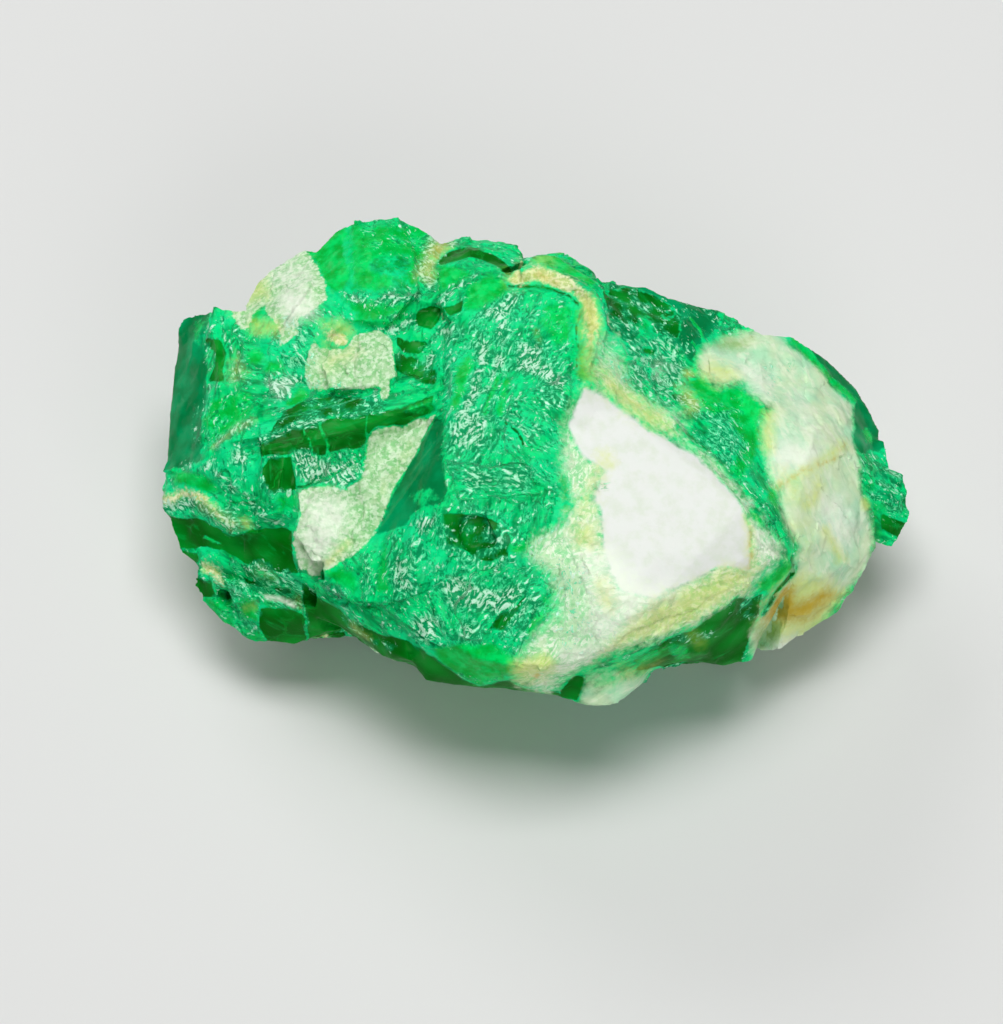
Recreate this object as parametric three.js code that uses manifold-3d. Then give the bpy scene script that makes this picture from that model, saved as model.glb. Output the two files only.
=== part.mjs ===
// Rough emerald: one natural stone, about 38 mm long, in millimetres, +Z up, resting on its flat
// underside with the origin under the middle of the stone.
//
// The stone is a cluster of crystals grown into one another, so each mass is a convex solid of flat
// faces, given by its corners, and all of them are joined into one. Corners that show from the show
// side are written [across, up, height]: across and up as an eye sees them that looks down on the
// stone from the front, and height above the surface it rests on. Hidden corners, underneath and at
// the back, are plain [x, y, z].
import * as THREE from "three";
import { ConvexGeometry } from "three/addons/geometries/ConvexGeometry.js";
import { mergeVertices } from "three/addons/utils/BufferGeometryUtils.js";
import Module from "manifold-3d";

const wasm = await Module();
wasm.setup();

// The line of sight from the show side
const SHOW_ELEVATION = THREE.MathUtils.degToRad(58);
const EYE_DISTANCE = 200;
const AIM = new THREE.Vector3(-1.78, -2.34, 8);

// Edges between the joined masses that are shorter than this are closed up
const SHORTEST_EDGE = 0.35;
// Broken faces: no edge stays longer than this, and their bumps are this high and this far apart
const LONGEST_EDGE = 1.9;
const BUMPS = [
  { height: 0.4, spacing: 3.3 },
  { height: 0.24, spacing: 1.5 },
];
// The rough surface fades out over this height above the flat underside
const FLAT_BELOW = 0.6;

// Faces that broke or grew smooth keep only this share of the bumps within radius of a seen point
const SMOOTH_PLACES = [
  { place: "white plate", at: [7.8, 1.2, 13.8], radius: 5, share: 0.05 },
  { place: "prism face at the left end", at: [-15.6, 5, 9], radius: 3.4, share: 0.15 },
  { place: "pale plate at the right end", at: [15.2, 3.2, 10.5], radius: 4.2, share: 0.4 },
  { place: "wall beside the grey plate", at: [-4.2, 1.6, 12.8], radius: 2.4, share: 0.2 },
  { place: "dome at the back", at: [-6.8, 11.6, 13], radius: 2.6, share: 0.35 },
  { place: "prism face under the vein", at: [-12.6, -2, 7.8], radius: 2.8, share: 0.3 },
  { place: "left half of the lying crystal", at: [-9.8, 3.8, 11], radius: 2, share: 0.35 },
  { place: "right half of the lying crystal", at: [-5.8, 5, 12], radius: 2.2, share: 0.35 },
  { place: "grey plate", at: [-8.6, -1, 10.8], radius: 2, share: 0.45 },
];

const ACROSS = new THREE.Vector3(1, 0, 0);
const UP = new THREE.Vector3(0, Math.sin(SHOW_ELEVATION), Math.cos(SHOW_ELEVATION));
const TO_EYE = new THREE.Vector3(0, -Math.cos(SHOW_ELEVATION), Math.sin(SHOW_ELEVATION));
const EYE = AIM.clone().addScaledVector(TO_EYE, EYE_DISTANCE);

// The point on one line of sight that lies at a height above the base.
function seen([across, up, height]) {
  const onPlane = AIM.clone().addScaledVector(ACROSS, across).addScaledVector(UP, up);
  const along = onPlane.sub(EYE);
  return EYE.clone().addScaledVector(along, (height - EYE.z) / along.z);
}

function solidOf(geometry) {
  const bare = geometry.clone();
  bare.deleteAttribute("normal");
  bare.deleteAttribute("uv");
  const merged = mergeVertices(bare, 1e-4);
  const mesh = new wasm.Mesh({
    numProp: 3,
    vertProperties: merged.attributes.position.array,
    triVerts: new Uint32Array(merged.index.array),
  });
  return new wasm.Manifold(mesh);
}

// One crystal mass: the convex solid of its seen corners and its hidden ones.
function mass(seenCorners, hiddenCorners = []) {
  const corners = seenCorners.map(seen);
  hiddenCorners.forEach((corner) => corners.push(new THREE.Vector3(...corner)));
  return solidOf(new ConvexGeometry(corners));
}

// A straight crystal column between two points, with a number of sides.
function columnBetween(from, to, radius, sides, turn) {
  const along = to.clone().sub(from);
  const geometry = new THREE.CylinderGeometry(radius, radius, along.length(), sides);
  geometry.rotateY(turn);
  const facing = new THREE.Quaternion();
  facing.setFromUnitVectors(new THREE.Vector3(0, 1, 0), along.clone().normalize());
  geometry.applyQuaternion(facing);
  geometry.translate(...from.clone().add(to).multiplyScalar(0.5).toArray());
  return solidOf(geometry);
}

function column(start, end, radius, sides, turn) {
  return columnBetween(seen(start), seen(end), radius, sides, turn);
}

// A raised vein: a chain of short five-sided columns from point to point.
function vein(route, radius) {
  const pieces = [];
  for (let i = 1; i < route.length; i += 1) {
    pieces.push(column(route[i - 1], route[i], radius * (1 - 0.08 * (i % 3)), 5, 0.4 * i));
  }
  return pieces;
}

// The high middle crystal: its top carries the white plate, its left wall drops to the grey plate.
function mainCrystal() {
  return mass(
    [
      [-2.5, 9.7, 13.6],
      [0.9, 11.2, 14.2],
      [4.1, 10.7, 14.8],
      [4.4, 6.35, 15.6],
      [12.2, 0.2, 13.4],
      [12.8, -2.4, 12],
      [14.4, -2.5, 10.4],
      [-2.6, 4.1, 14.6],
      [-2.8, 0.1, 14],
      [-5.1, -2.4, 12.5],
      [-3.1, 4.9, 12.6],
      [-6.7, -1.8, 10.6],
      [-7, -4, 10.2],
      [-6.1, -4.8, 10.6],
      [-3.8, -6.6, 10.3],
      [-1.4, -7.4, 10.6],
      [1.6, -7.9, 10.7],
      [4.9, -7.4, 10.9],
      [8.2, -6, 11],
      [11.7, -4.1, 10.9],
      [7.4, -4.7, 12.6],
      [-3.6, -8.6, 7.4],
      [1.4, -9.3, 7.2],
      [9.4, -7.8, 6.6],
      [12.4, -7.1, 6],
      [14, -4.2, 7.6],
    ],
    [
      [-5.2, -5.8, 0],
      [3.1, -6.8, 0],
      [9.1, -4.6, 0],
      [9.8, 0.6, 0],
      [-8.2, 5.4, 2.6],
      [3.6, 9, 6],
      [0.4, 8.2, 0],
    ],
  );
}

// Everything left of the wall, down to the smooth prism face that ends the stone.
function leftMass() {
  return mass(
    [
      [-3.1, 9.1, 12.4],
      [-3.4, 4.6, 12.2],
      [-7, -2.1, 9.9],
      [-9.6, -3, 9],
      [-10.1, 1, 10.8],
      [-12, 4.5, 11.1],
      [-12.7, 10.4, 11],
      [-8, 9.4, 12],
      [-14.5, 10.1, 10.3],
      [-14.4, 5.6, 10.5],
      [-14.8, 2.1, 9.7],
      [-15.9, 9.7, 8.8],
      [-16.3, 9, 8.5],
      [-16.5, 5.6, 8.1],
      [-16.8, 2.1, 7.5],
      [-17, 0.3, 6.9],
      [-13.2, -0.8, 8.7],
      [-10.2, -1.2, 9.7],
      [-16.3, -2.2, 5.7],
      [-10.3, -3.3, 8],
      [-8.4, -5.6, 5.6],
      [-13, -4, 5.4],
    ],
    [
      [-11.2, -2.8, 0],
      [-4.6, -5.2, 0],
      [-1.2, 7.4, 0],
      [-11.6, 3.4, 0],
      [-14.6, -1.6, 2.2],
      [-16.2, 4.6, 4.2],
      [-14.2, 8, 4.4],
      [-9, 9.4, 3],
    ],
  );
}

// The pale plate at the right, with the green rim behind it.
function rightMass() {
  return mass(
    [
      [10.2, 7.6, 11.5],
      [12.5, 9.2, 10.3],
      [14.5, 8.4, 9.4],
      [16.1, 7.6, 8.7],
      [17.7, 6.2, 8],
      [18.9, 4.3, 7.2],
      [12.7, 5.6, 12],
      [13.3, 3.4, 11.9],
      [13.8, 0.6, 11.2],
      [14.7, -2.2, 10],
      [15.6, 3.6, 11.1],
      [17.2, 5.2, 9.2],
      [17.6, 2.6, 9],
      [17.6, -0.6, 8],
      [16, -3, 8],
      [18.9, 1.2, 6.8],
      [18.8, -2, 6.2],
      [17.9, -3.5, 5.4],
      [16.7, -4.9, 5],
      [15.3, -5.9, 4.8],
      [13.8, -7, 4.6],
    ],
    [
      [8.2, -3.6, 0],
      [11, 1.8, 0],
      [6.4, 5.6, 0],
      [15.2, 2.6, 2.6],
      [12.2, 7.2, 3.6],
      [13.4, -4.6, 2],
    ],
  );
}

// The slopes between the ridge of the white plate, the pale plate and the back.
function backRightMass() {
  const darkSlope = mass(
    [
      [4.6, 11.1, 13],
      [5.4, 11.4, 12.3],
      [7.2, 11.2, 11.7],
      [9.9, 10.5, 10.9],
      [11.9, 9.8, 10.2],
      [10.2, 6.9, 11.6],
      [7.6, 5.6, 13],
      [5.2, 7.4, 14.2],
      [4.9, 9.6, 14],
    ],
    [
      [7.2, 5.2, 0],
      [0.6, 7.6, 0.4],
      [4.4, 10, 5.4],
      [9.8, 8.6, 5],
    ],
  );
  const greenBand = mass(
    [
      [5.2, 5.4, 14.8],
      [8, 6.4, 12.9],
      [10.3, 6.6, 11.8],
      [12.6, 4.8, 11.7],
      [13.4, 1.8, 11.3],
      [14.5, -1.9, 10.1],
      [12.4, 0.7, 12.9],
      [9.9, 2.7, 13.8],
      [11.8, 2.9, 12.4],
      [11.4, -1.4, 11.4],
      [7, 4, 13.4],
    ],
    [
      [8.4, 3.8, 1],
      [10.6, -1.6, 1],
      [2.2, 3.6, 2],
      [14.2, 1.2, 4],
      [13.6, -2.6, 4],
      [13.4, 3.6, 6],
    ],
  );
  const saddle = mass(
    [
      [9, 10.5, 11],
      [11.6, 9.8, 10.4],
      [13, 9.1, 10.3],
      [13.2, 6.2, 11.7],
      [10.8, 5.6, 12],
      [9.2, 6, 12.4],
      [8.8, 8, 12],
    ],
    [
      [9.4, 6.6, 3],
      [12.2, 6, 3.4],
    ],
  );
  const seam = mass(
    [
      [12.1, 0.9, 13.1],
      [12.8, 1.5, 12.3],
      [13.6, 0.9, 11.6],
      [14.4, -1.2, 10.8],
      [14.6, -2.3, 10.3],
      [13.7, -1.9, 11.2],
      [12.9, -0.6, 12.5],
    ],
    [[12.3, -1.5, 7]],
  );
  return [darkSlope, greenBand, saddle, seam];
}

// The bevelled blades that end the stone at the right.
function rightTip() {
  const blades = [
    { foot: [17.4, 3, 8.2], crest: [19.5, 2.5, 7.1], width: 1.3 },
    { foot: [17.6, 1.2, 8], crest: [20.4, 1.1, 6.6], width: 1.1 },
    { foot: [17.2, -0.4, 7.4], crest: [20.62, -0.3, 5.9], width: 1.5 },
  ];
  return blades.map(({ foot, crest, width }) => {
    const [across, up, height] = crest;
    return mass(
      [
        foot,
        crest,
        [across - 0.3, up + width, height + 0.2],
        [across - 0.9, up - width, height - 0.7],
        [foot[0], foot[1] + width, foot[2]],
        [foot[0], foot[1] - width, foot[2] - 0.5],
      ],
      [
        [14, 1.4, 3.4],
        [14.2, 3.4, 4.6],
      ],
    );
  });
}

// The rounded green crystal at the back left, with a broken step on its right.
function backDome() {
  const dome = mass(
    [
      [-9.5, 13.2, 11],
      [-8.6, 14.1, 11.4],
      [-7.6, 14.5, 11.5],
      [-6.4, 14.6, 11.5],
      [-5, 14.6, 11.6],
      [-4.3, 13.2, 12.4],
      [-4.3, 11, 13.3],
      [-5.6, 9.4, 12.9],
      [-7.9, 9.6, 12.4],
      [-8.6, 11.4, 12.2],
      [-6.6, 12.8, 12.9],
    ],
    [
      [-7.2, 5.4, 0.6],
      [-8.8, 9.8, 5],
      [-4.4, 11, 5],
    ],
  );
  const step = mass(
    [
      [-5.2, 14.4, 11.5],
      [-3.7, 14.1, 11.6],
      [-2.9, 13.6, 11.5],
      [-3, 11.8, 12.4],
      [-3.4, 10.4, 12.8],
      [-5, 10.6, 12.7],
    ],
    [
      [-6, 5, 1.2],
      [-3.2, 10.8, 5.6],
    ],
  );
  const pocketFloor = mass(
    [
      [-5.5, 10.7, 12],
      [-2.9, 10.6, 12.3],
      [-2.8, 8.6, 12.6],
      [-5.3, 8.4, 12.3],
    ],
    [[-4.2, 4, 6]],
  );
  return [dome, step, pocketFloor];
}

// The pale quartz at the back left corner, and the pale plate in front of it.
function paleQuartz() {
  const lump = mass(
    [
      [-9.3, 13.1, 10.9],
      [-10, 13.1, 10.5],
      [-10.8, 12.7, 10.3],
      [-11.6, 12.2, 10.1],
      [-12.4, 11.4, 9.9],
      [-13.2, 10.4, 10],
      [-12.2, 9.2, 11],
      [-10.4, 8.2, 11.8],
      [-8.3, 9.2, 12.3],
      [-8.6, 11.4, 12.3],
      [-10.2, 11.4, 12.2],
    ],
    [
      [-7.6, 5.8, 1],
      [-11.8, 8.4, 4.6],
      [-9.6, 9.8, 4.8],
    ],
  );
  const plate = mass(
    [
      [-8.7, 8.9, 12.5],
      [-5.8, 8.6, 13.1],
      [-5.2, 7.6, 13.1],
      [-5.4, 6.5, 12.8],
      [-8.7, 6.3, 12.3],
      [-9.2, 7.6, 12.3],
    ],
    [[-7, 2.4, 7]],
  );
  return [lump, plate];
}

// The two rounded crystals between the dome and the vein, and the bed that the vein lies on.
function backCrystals() {
  const curved = mass(
    [
      [-3.2, 13.4, 11.4],
      [-2.3, 14, 11.4],
      [-0.9, 13.9, 11.6],
      [0.6, 13.5, 11.8],
      [0.9, 12.4, 12.6],
      [-0.5, 12, 13.6],
      [-2.2, 11.6, 13.4],
      [-3.1, 12.2, 12.4],
    ],
    [
      [-4.4, 6, 0.8],
      [-2, 10.6, 5.4],
      [0, 9.8, 5.6],
    ],
  );
  const flat = mass(
    [
      [-3.1, 11.9, 12.6],
      [-1.6, 12, 13],
      [0.6, 11.9, 13.6],
      [0.7, 11.3, 14],
      [-0.6, 10, 14.2],
      [-2.9, 9.6, 13.7],
      [-3.3, 10.6, 13],
    ],
    [
      [-2, 5, 3],
      [-1, 9, 6],
    ],
  );
  const shoulder = mass(
    [
      [0.9, 12.7, 11.9],
      [1.9, 12.9, 11.9],
      [3.1, 12.8, 12],
      [4.4, 12, 12.2],
      [5, 10.9, 12.5],
      [4.5, 10.9, 14],
      [3, 12, 13.7],
      [1.2, 12, 13.4],
    ],
    [
      [0.8, 5.8, 1.4],
      [3.6, 9.6, 5.6],
      [1, 10, 6],
    ],
  );
  const bed = mass(
    [
      [0.1, 11.5, 13.6],
      [1.2, 12.5, 13.6],
      [2.3, 12.7, 13.6],
      [3.5, 12.2, 13.9],
      [4.8, 11.2, 14],
      [5.3, 10.2, 14.2],
      [5, 8, 14.7],
      [4.1, 8.2, 15],
      [3.8, 10.6, 14.7],
      [0.9, 10.9, 14.1],
    ],
    [[2.4, 8.4, 8]],
  );
  return [curved, flat, shoulder, bed];
}

// Crystals that lie or stand on the left mass.
function leftCrystals() {
  const greyPlate = mass(
    [
      [-3.1, 4.9, 12.8],
      [-6.7, -1.8, 10.9],
      [-8, -2.7, 10.5],
      [-9.6, -2.6, 10.1],
      [-10.4, -1.3, 10.5],
      [-10.1, 1, 11.5],
      [-6.6, 1.8, 12.2],
      [-5.8, 3.4, 12.5],
    ],
    [[-8.4, -4, 6]],
  );
  const lyingPrism = column([-12, 2.9, 10.3], [-2.9, 5.6, 11.9], 1.7, 6, Math.PI / 6);
  const blockCrystal = column([-10.9, 2.4, 10.6], [-11.1, -0.8, 9.6], 1.2, 6, 0.2);
  const greenPatch = mass(
    [
      [-14.8, 4.6, 10.2],
      [-13, 6.2, 11.4],
      [-12.2, 5.4, 11.6],
      [-12.4, 3.6, 11.2],
      [-14.2, 3.2, 10.4],
    ],
    [[-13, 1, 6]],
  );
  const endBlades = [0, 1, 2].map((i) =>
    column([-14.2 + 0.75 * i, 10.1, 10.1 + 0.25 * i], [-13.9 + 0.75 * i, 6, 10.7], 0.48, 5, i),
  );
  return [greyPlate, lyingPrism, blockCrystal, greenPatch, ...endBlades];
}

// The broken lumps along the lower left edge, and the lip that juts out at the front.
function frontLumps() {
  const lowerLeft = mass(
    [
      [-15.4, -3.7, 4.9],
      [-14, -5, 4.6],
      [-12.9, -6.3, 4.5],
      [-10.2, -6.6, 4.8],
      [-8.6, -6.4, 5.6],
      [-9.4, -4.8, 7.6],
      [-12, -4, 7],
      [-15.3, -2.8, 5.8],
    ],
    [
      [-11.6, -5, 1],
      [-7.4, -5.6, 1.2],
    ],
  );
  const knuckle = mass(
    [
      [-13.9, -3.4, 6.8],
      [-12.6, -3.6, 7.4],
      [-12.4, -4.4, 7],
      [-13.6, -4.6, 6],
    ],
    [[-12.6, -3, 3]],
  );
  const cheek = mass(
    [
      [-9.2, -3.4, 9],
      [-7.2, -3.4, 10.2],
      [-5.8, -5.6, 9.6],
      [-4.4, -7.6, 8.6],
      [-7.1, -6.8, 6.2],
      [-9.2, -5.4, 6.8],
    ],
    [
      [-7.2, -6, 1.6],
      [-4, -8, 2],
    ],
  );
  const gusset = mass(
    [
      [-8.9, -2.9, 10],
      [-7.6, -2, 10.9],
      [-6.2, -1.2, 11.2],
      [-5.4, -2.6, 11.4],
      [-5.4, -4.8, 10.8],
      [-7.4, -4.7, 9.8],
      [-8.8, -3.9, 9.3],
    ],
    [[-6.4, -5, 4]],
  );
  const lip = mass(
    [
      [1.6, -9.3, 7.3],
      [3.9, -9.6, 7.2],
      [6, -9.6, 7.1],
      [6.8, -9, 7],
      [7.3, -8, 7.5],
      [5.6, -7.7, 8.9],
      [2.4, -8.2, 8.9],
    ],
    [
      [3.4, -9, 2],
      [5.8, -7.6, 2.4],
    ],
  );
  return [lowerLeft, knuckle, cheek, gusset, lip];
}

// Six-sided crystals lying side by side low on the back and under the front edge, half sunk in the
// stone, so that the show side doesn't see them.
function lowCrystals() {
  const crystals = [
    { from: [-14.8, 5.2, 4.6], to: [-5.6, 9.2, 4], radius: 2.4 },
    { from: [-10.6, 8.4, 7.4], to: [-0.6, 10.3, 7], radius: 2.2 },
    { from: [-4.4, 8, 3.2], to: [6.2, 8.4, 3.4], radius: 2.6 },
    { from: [0.6, 9.3, 6.8], to: [8.8, 8.3, 6.2], radius: 2.1 },
    { from: [5.8, 6.4, 3.6], to: [15, 3.6, 4.2], radius: 2.6 },
    { from: [8.6, 7.6, 6.4], to: [14.4, 4.4, 5.6], radius: 1.9 },
    { from: [-13.2, -3, 3.4], to: [-4, -6.6, 3.2], radius: 2 },
    { from: [-3.4, -8.2, 4.2], to: [5.4, -7.6, 4.4], radius: 2.3 },
    { from: [5.6, -6.4, 3], to: [14, -3.4, 3.8], radius: 2.2 },
  ];
  return crystals.map(({ from, to, radius }, i) => {
    const [start, end] = [from, to].map((place) => new THREE.Vector3(...place));
    return columnBetween(start, end, radius, 6, 0.35 * i);
  });
}

// Wedges that close the gaps between the masses in the flat face that the stone rests on.
function underside() {
  const leftWedge = mass(
    [],
    [
      [-5.6, -4.4, 0],
      [-3.4, -4.6, 0],
      [1.6, 6.8, 0],
      [-2.6, 6.6, 0],
      [-2.2, 1.8, 4],
    ],
  );
  const backWedge = mass(
    [],
    [
      [0.3, 7.8, 0],
      [7.4, 4.9, 0],
      [9.7, 1, 0],
      [2.8, 2.6, 0],
      [4.2, 4.8, 5],
    ],
  );
  return [leftWedge, backWedge];
}

// Hollows where a crystal has come out or a chip has gone.
function hollows() {
  const eye = mass([
    [-2.6, 0.1, 15],
    [-0.5, 0.5, 15.4],
    [0.5, -1.6, 14.6],
    [-0.5, -2.7, 14],
    [-2.3, -2.2, 13.8],
    [-1.8, -0.7, 13.2],
    [-0.8, -0.4, 13.4],
    [-0.3, -1.4, 13],
    [-1.4, -1.9, 12.8],
  ]);
  const pocket = mass([
    [-14.9, -3.6, 6.8],
    [-13.6, -4, 7],
    [-13.2, -5.2, 6],
    [-14.4, -4.9, 5.4],
    [-13.6, -3.8, 4.4],
  ]);
  const notch = mass(
    [
      [7.2, -8.4, 8],
      [7.9, -8.1, 8],
      [8.2, -9.4, 8],
      [7, -9.6, 8],
    ],
    [[7.6, -9, 3]],
  );
  return [eye, pocket, notch];
}

// A repeatable number from -1 to 1 for each whole-numbered cell and channel.
function cellNumber(i, j, k, channel) {
  let h = Math.imul(i, 374761393) ^ Math.imul(j, 668265263);
  h ^= Math.imul(k, 1274126177) ^ Math.imul(channel + 1, 974711);
  h = Math.imul(h ^ (h >>> 13), 1103515245);
  return ((h ^ (h >>> 16)) >>> 0) / 2147483647.5 - 1;
}

// Smooth noise between the cell numbers around a point.
function noise(point, spacing, channel) {
  const cell = point.clone().divideScalar(spacing);
  const low = cell.clone().floor();
  const part = cell.sub(low);
  const ease = part.clone().multiply(part).multiply(part.clone().multiplyScalar(-2).addScalar(3));
  let sum = 0;
  for (let corner = 0; corner < 8; corner += 1) {
    const [a, b, c] = [corner & 1, (corner >> 1) & 1, corner >> 2];
    const share =
      (a ? ease.x : 1 - ease.x) * (b ? ease.y : 1 - ease.y) * (c ? ease.z : 1 - ease.z);
    sum += share * cellNumber(low.x + a, low.y + b, low.z + c, channel);
  }
  return sum;
}

// How much of the bumps a point keeps, from 0 to 1.
function roughShare(point) {
  let share = THREE.MathUtils.smoothstep(point.z, 0, FLAT_BELOW);
  for (const { at, radius, share: left } of SMOOTH_PLACES) {
    const away = seen(at).distanceTo(point) / radius;
    share = Math.min(share, left + (1 - left) * THREE.MathUtils.smoothstep(away, 0.75, 1.25));
  }
  return share;
}

function roughen(point) {
  const shift = new THREE.Vector3();
  BUMPS.forEach(({ height, spacing }, octave) => {
    const channel = 3 * octave;
    shift.x += height * noise(point, spacing, channel);
    shift.y += height * noise(point, spacing, channel + 1);
    shift.z += height * noise(point, spacing, channel + 2);
  });
  return point.clone().addScaledVector(shift, roughShare(point));
}

function faceNormal(p, q, r) {
  return q.clone().sub(p).cross(r.clone().sub(p));
}

// Closes up edges shorter than the limit, where the surface stays closed and no face turns over.
function closeShortEdges(points, triangles, limit) {
  const faces = triangles.map((face) => [...face]);
  const around = points.map(() => new Set());
  faces.forEach((face, id) => face.forEach((corner) => around[corner].add(id)));
  const neighbours = (corner) => new Set([...around[corner]].flatMap((id) => faces[id]));

  const turnsOver = (gone, kept, place) =>
    [gone, kept].some((corner) =>
      [...around[corner]].some((id) => {
        const face = faces[id];
        if (face.includes(gone) && face.includes(kept)) return false;
        const before = faceNormal(...face.map((c) => points[c]));
        const after = faceNormal(...face.map((c) => (c === corner ? place : points[c])));
        return before.dot(after) < 0.3 * before.length() * after.length();
      }),
    );

  const close = (gone, kept) => {
    const shared = [...neighbours(gone)].filter((corner) => neighbours(kept).has(corner));
    if (shared.length !== 4) return false;
    const place = points[gone].clone().add(points[kept]).multiplyScalar(0.5);
    if (Math.min(points[gone].z, points[kept].z) < 1e-6) {
      place.copy(points[gone].z < points[kept].z ? points[gone] : points[kept]);
    }
    if (turnsOver(gone, kept, place)) return false;
    points[kept].copy(place);
    for (const id of [...around[gone]]) {
      const face = faces[id];
      if (face.includes(kept)) {
        face.forEach((corner) => around[corner].delete(id));
        faces[id] = null;
      } else {
        face[face.indexOf(gone)] = kept;
        around[kept].add(id);
      }
    }
    return true;
  };

  let closedAny = true;
  while (closedAny) {
    closedAny = false;
    for (let id = 0; id < faces.length; id += 1) {
      for (let side = 0; side < 3 && faces[id]; side += 1) {
        const [a, b] = [faces[id][side], faces[id][(side + 1) % 3]];
        if (points[a].distanceTo(points[b]) < limit && close(a, b)) closedAny = true;
      }
    }
  }
  return faces.filter(Boolean);
}

// Splits every edge longer than the limit at its middle until none is left.
function splitLongEdges(points, triangles, limit) {
  let faces = triangles;
  let splitAny = true;
  while (splitAny) {
    const middles = new Map();
    const middle = (a, b) => {
      if (points[a].distanceTo(points[b]) <= limit) return -1;
      const key = a < b ? `${a}_${b}` : `${b}_${a}`;
      if (!middles.has(key)) {
        middles.set(key, points.length);
        points.push(points[a].clone().add(points[b]).multiplyScalar(0.5));
      }
      return middles.get(key);
    };
    faces = faces.flatMap(([a, b, c]) => splitFace(points, a, b, c, middle));
    splitAny = middles.size > 0;
  }
  return faces;
}

function splitFace(points, a, b, c, middle) {
  const [ab, bc, ca] = [middle(a, b), middle(b, c), middle(c, a)];
  const cuts = [ab, bc, ca].filter((m) => m >= 0).length;
  if (cuts === 0) return [[a, b, c]];
  if (cuts === 3) return [[a, ab, ca], [ab, b, bc], [ca, bc, c], [ab, bc, ca]];
  if (cuts === 1) {
    if (ab >= 0) return [[a, ab, c], [ab, b, c]];
    if (bc >= 0) return [[b, bc, a], [bc, c, a]];
    return [[c, ca, b], [ca, a, b]];
  }
  if (ab < 0) return splitTwo(points, c, ca, a, b, bc);
  if (bc < 0) return splitTwo(points, a, ab, b, c, ca);
  return splitTwo(points, b, bc, c, a, ab);
}

// The corner apex has cut edges on both sides; the rest is a quad, split on its shorter diagonal.
function splitTwo(points, apex, first, next, last, second) {
  const tip = [apex, first, second];
  if (points[first].distanceTo(points[last]) < points[next].distanceTo(points[second])) {
    return [tip, [first, next, last], [first, last, second]];
  }
  return [tip, [first, next, second], [next, last, second]];
}

function stoneGeometry(solid) {
  const mesh = solid.getMesh();
  const points = [];
  for (let i = 0; i < mesh.vertProperties.length; i += 3) {
    points.push(new THREE.Vector3(...mesh.vertProperties.subarray(i, i + 3)));
  }
  const triangles = [];
  for (let i = 0; i < mesh.triVerts.length; i += 3) {
    triangles.push([...mesh.triVerts.subarray(i, i + 3)]);
  }
  const sound = closeShortEdges(points, triangles, SHORTEST_EDGE);
  const faces = splitLongEdges(points, sound, LONGEST_EDGE);
  const geometry = new THREE.BufferGeometry().setFromPoints(points.map(roughen));
  geometry.setIndex(faces.flat());
  return geometry;
}

const masses = [
  mainCrystal(),
  leftMass(),
  rightMass(),
  ...backRightMass(),
  ...rightTip(),
  ...backDome(),
  ...paleQuartz(),
  ...backCrystals(),
  ...leftCrystals(),
  ...frontLumps(),
  ...lowCrystals(),
  ...underside(),
  ...vein(
    [
      [0.8, 11.7, 14],
      [2, 11.9, 14.2],
      [3.4, 11.3, 14.5],
      [4.5, 10.4, 14.9],
      [4.6, 9, 15.1],
      [4.3, 7.9, 15.2],
    ],
    0.55,
  ),
  ...vein(
    [
      [-16.4, 1, 7.3],
      [-14.8, 0.3, 8.3],
      [-13.2, -0.6, 9],
      [-11.9, -0.9, 9.4],
    ],
    0.6,
  ),
];
const joined = masses.reduce((sum, next) => sum.add(next));
const chipped = hollows().reduce((left, hollow) => left.subtract(hollow), joined);
// Gaps that stay sealed between the masses are filled: only the outer skin is kept.
const stone = chipped.decompose().reduce((largest, body) => {
  return body.volume() > largest.volume() ? body : largest;
});

const material = new THREE.MeshStandardMaterial({ color: 0x1f9a55, roughness: 0.35, metalness: 0 });
const roughEmerald = new THREE.Mesh(stoneGeometry(stone), material);
roughEmerald.name = "rough_emerald";

const group = new THREE.Group();
group.add(roughEmerald);
export default group;
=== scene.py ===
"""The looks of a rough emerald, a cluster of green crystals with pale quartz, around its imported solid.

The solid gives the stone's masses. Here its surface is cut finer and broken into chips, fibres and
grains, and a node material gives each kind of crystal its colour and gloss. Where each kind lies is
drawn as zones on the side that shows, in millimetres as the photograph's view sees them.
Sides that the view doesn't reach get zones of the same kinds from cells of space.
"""

import math
from itertools import product

import bpy
import numpy as np
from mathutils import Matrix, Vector


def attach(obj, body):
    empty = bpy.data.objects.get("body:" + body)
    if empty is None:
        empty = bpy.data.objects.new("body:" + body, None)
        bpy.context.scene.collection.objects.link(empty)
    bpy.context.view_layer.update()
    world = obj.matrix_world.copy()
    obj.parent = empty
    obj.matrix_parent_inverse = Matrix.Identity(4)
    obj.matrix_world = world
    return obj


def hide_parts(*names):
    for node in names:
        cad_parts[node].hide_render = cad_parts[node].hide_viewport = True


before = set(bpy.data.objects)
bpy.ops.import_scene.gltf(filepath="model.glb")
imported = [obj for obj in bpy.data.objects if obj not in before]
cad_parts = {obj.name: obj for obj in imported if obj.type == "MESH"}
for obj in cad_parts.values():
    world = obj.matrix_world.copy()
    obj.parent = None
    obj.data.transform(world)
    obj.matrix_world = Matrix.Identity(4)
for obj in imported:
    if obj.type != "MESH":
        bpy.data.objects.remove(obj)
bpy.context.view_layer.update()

MM = 0.001

# Farther than any two points of the stone lie apart
FAR = 1e9

# The line of sight of the photograph: it looks down on the stone from the front
SHOW_ELEVATION = math.radians(58)
EYE_DISTANCE = 200.0
AIM = np.array([-1.78, -2.34, 8.0])
PIXELS_PER_MM = 20.0
IMAGE_HEIGHT = 1024
SENSOR = 36.0

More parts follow.
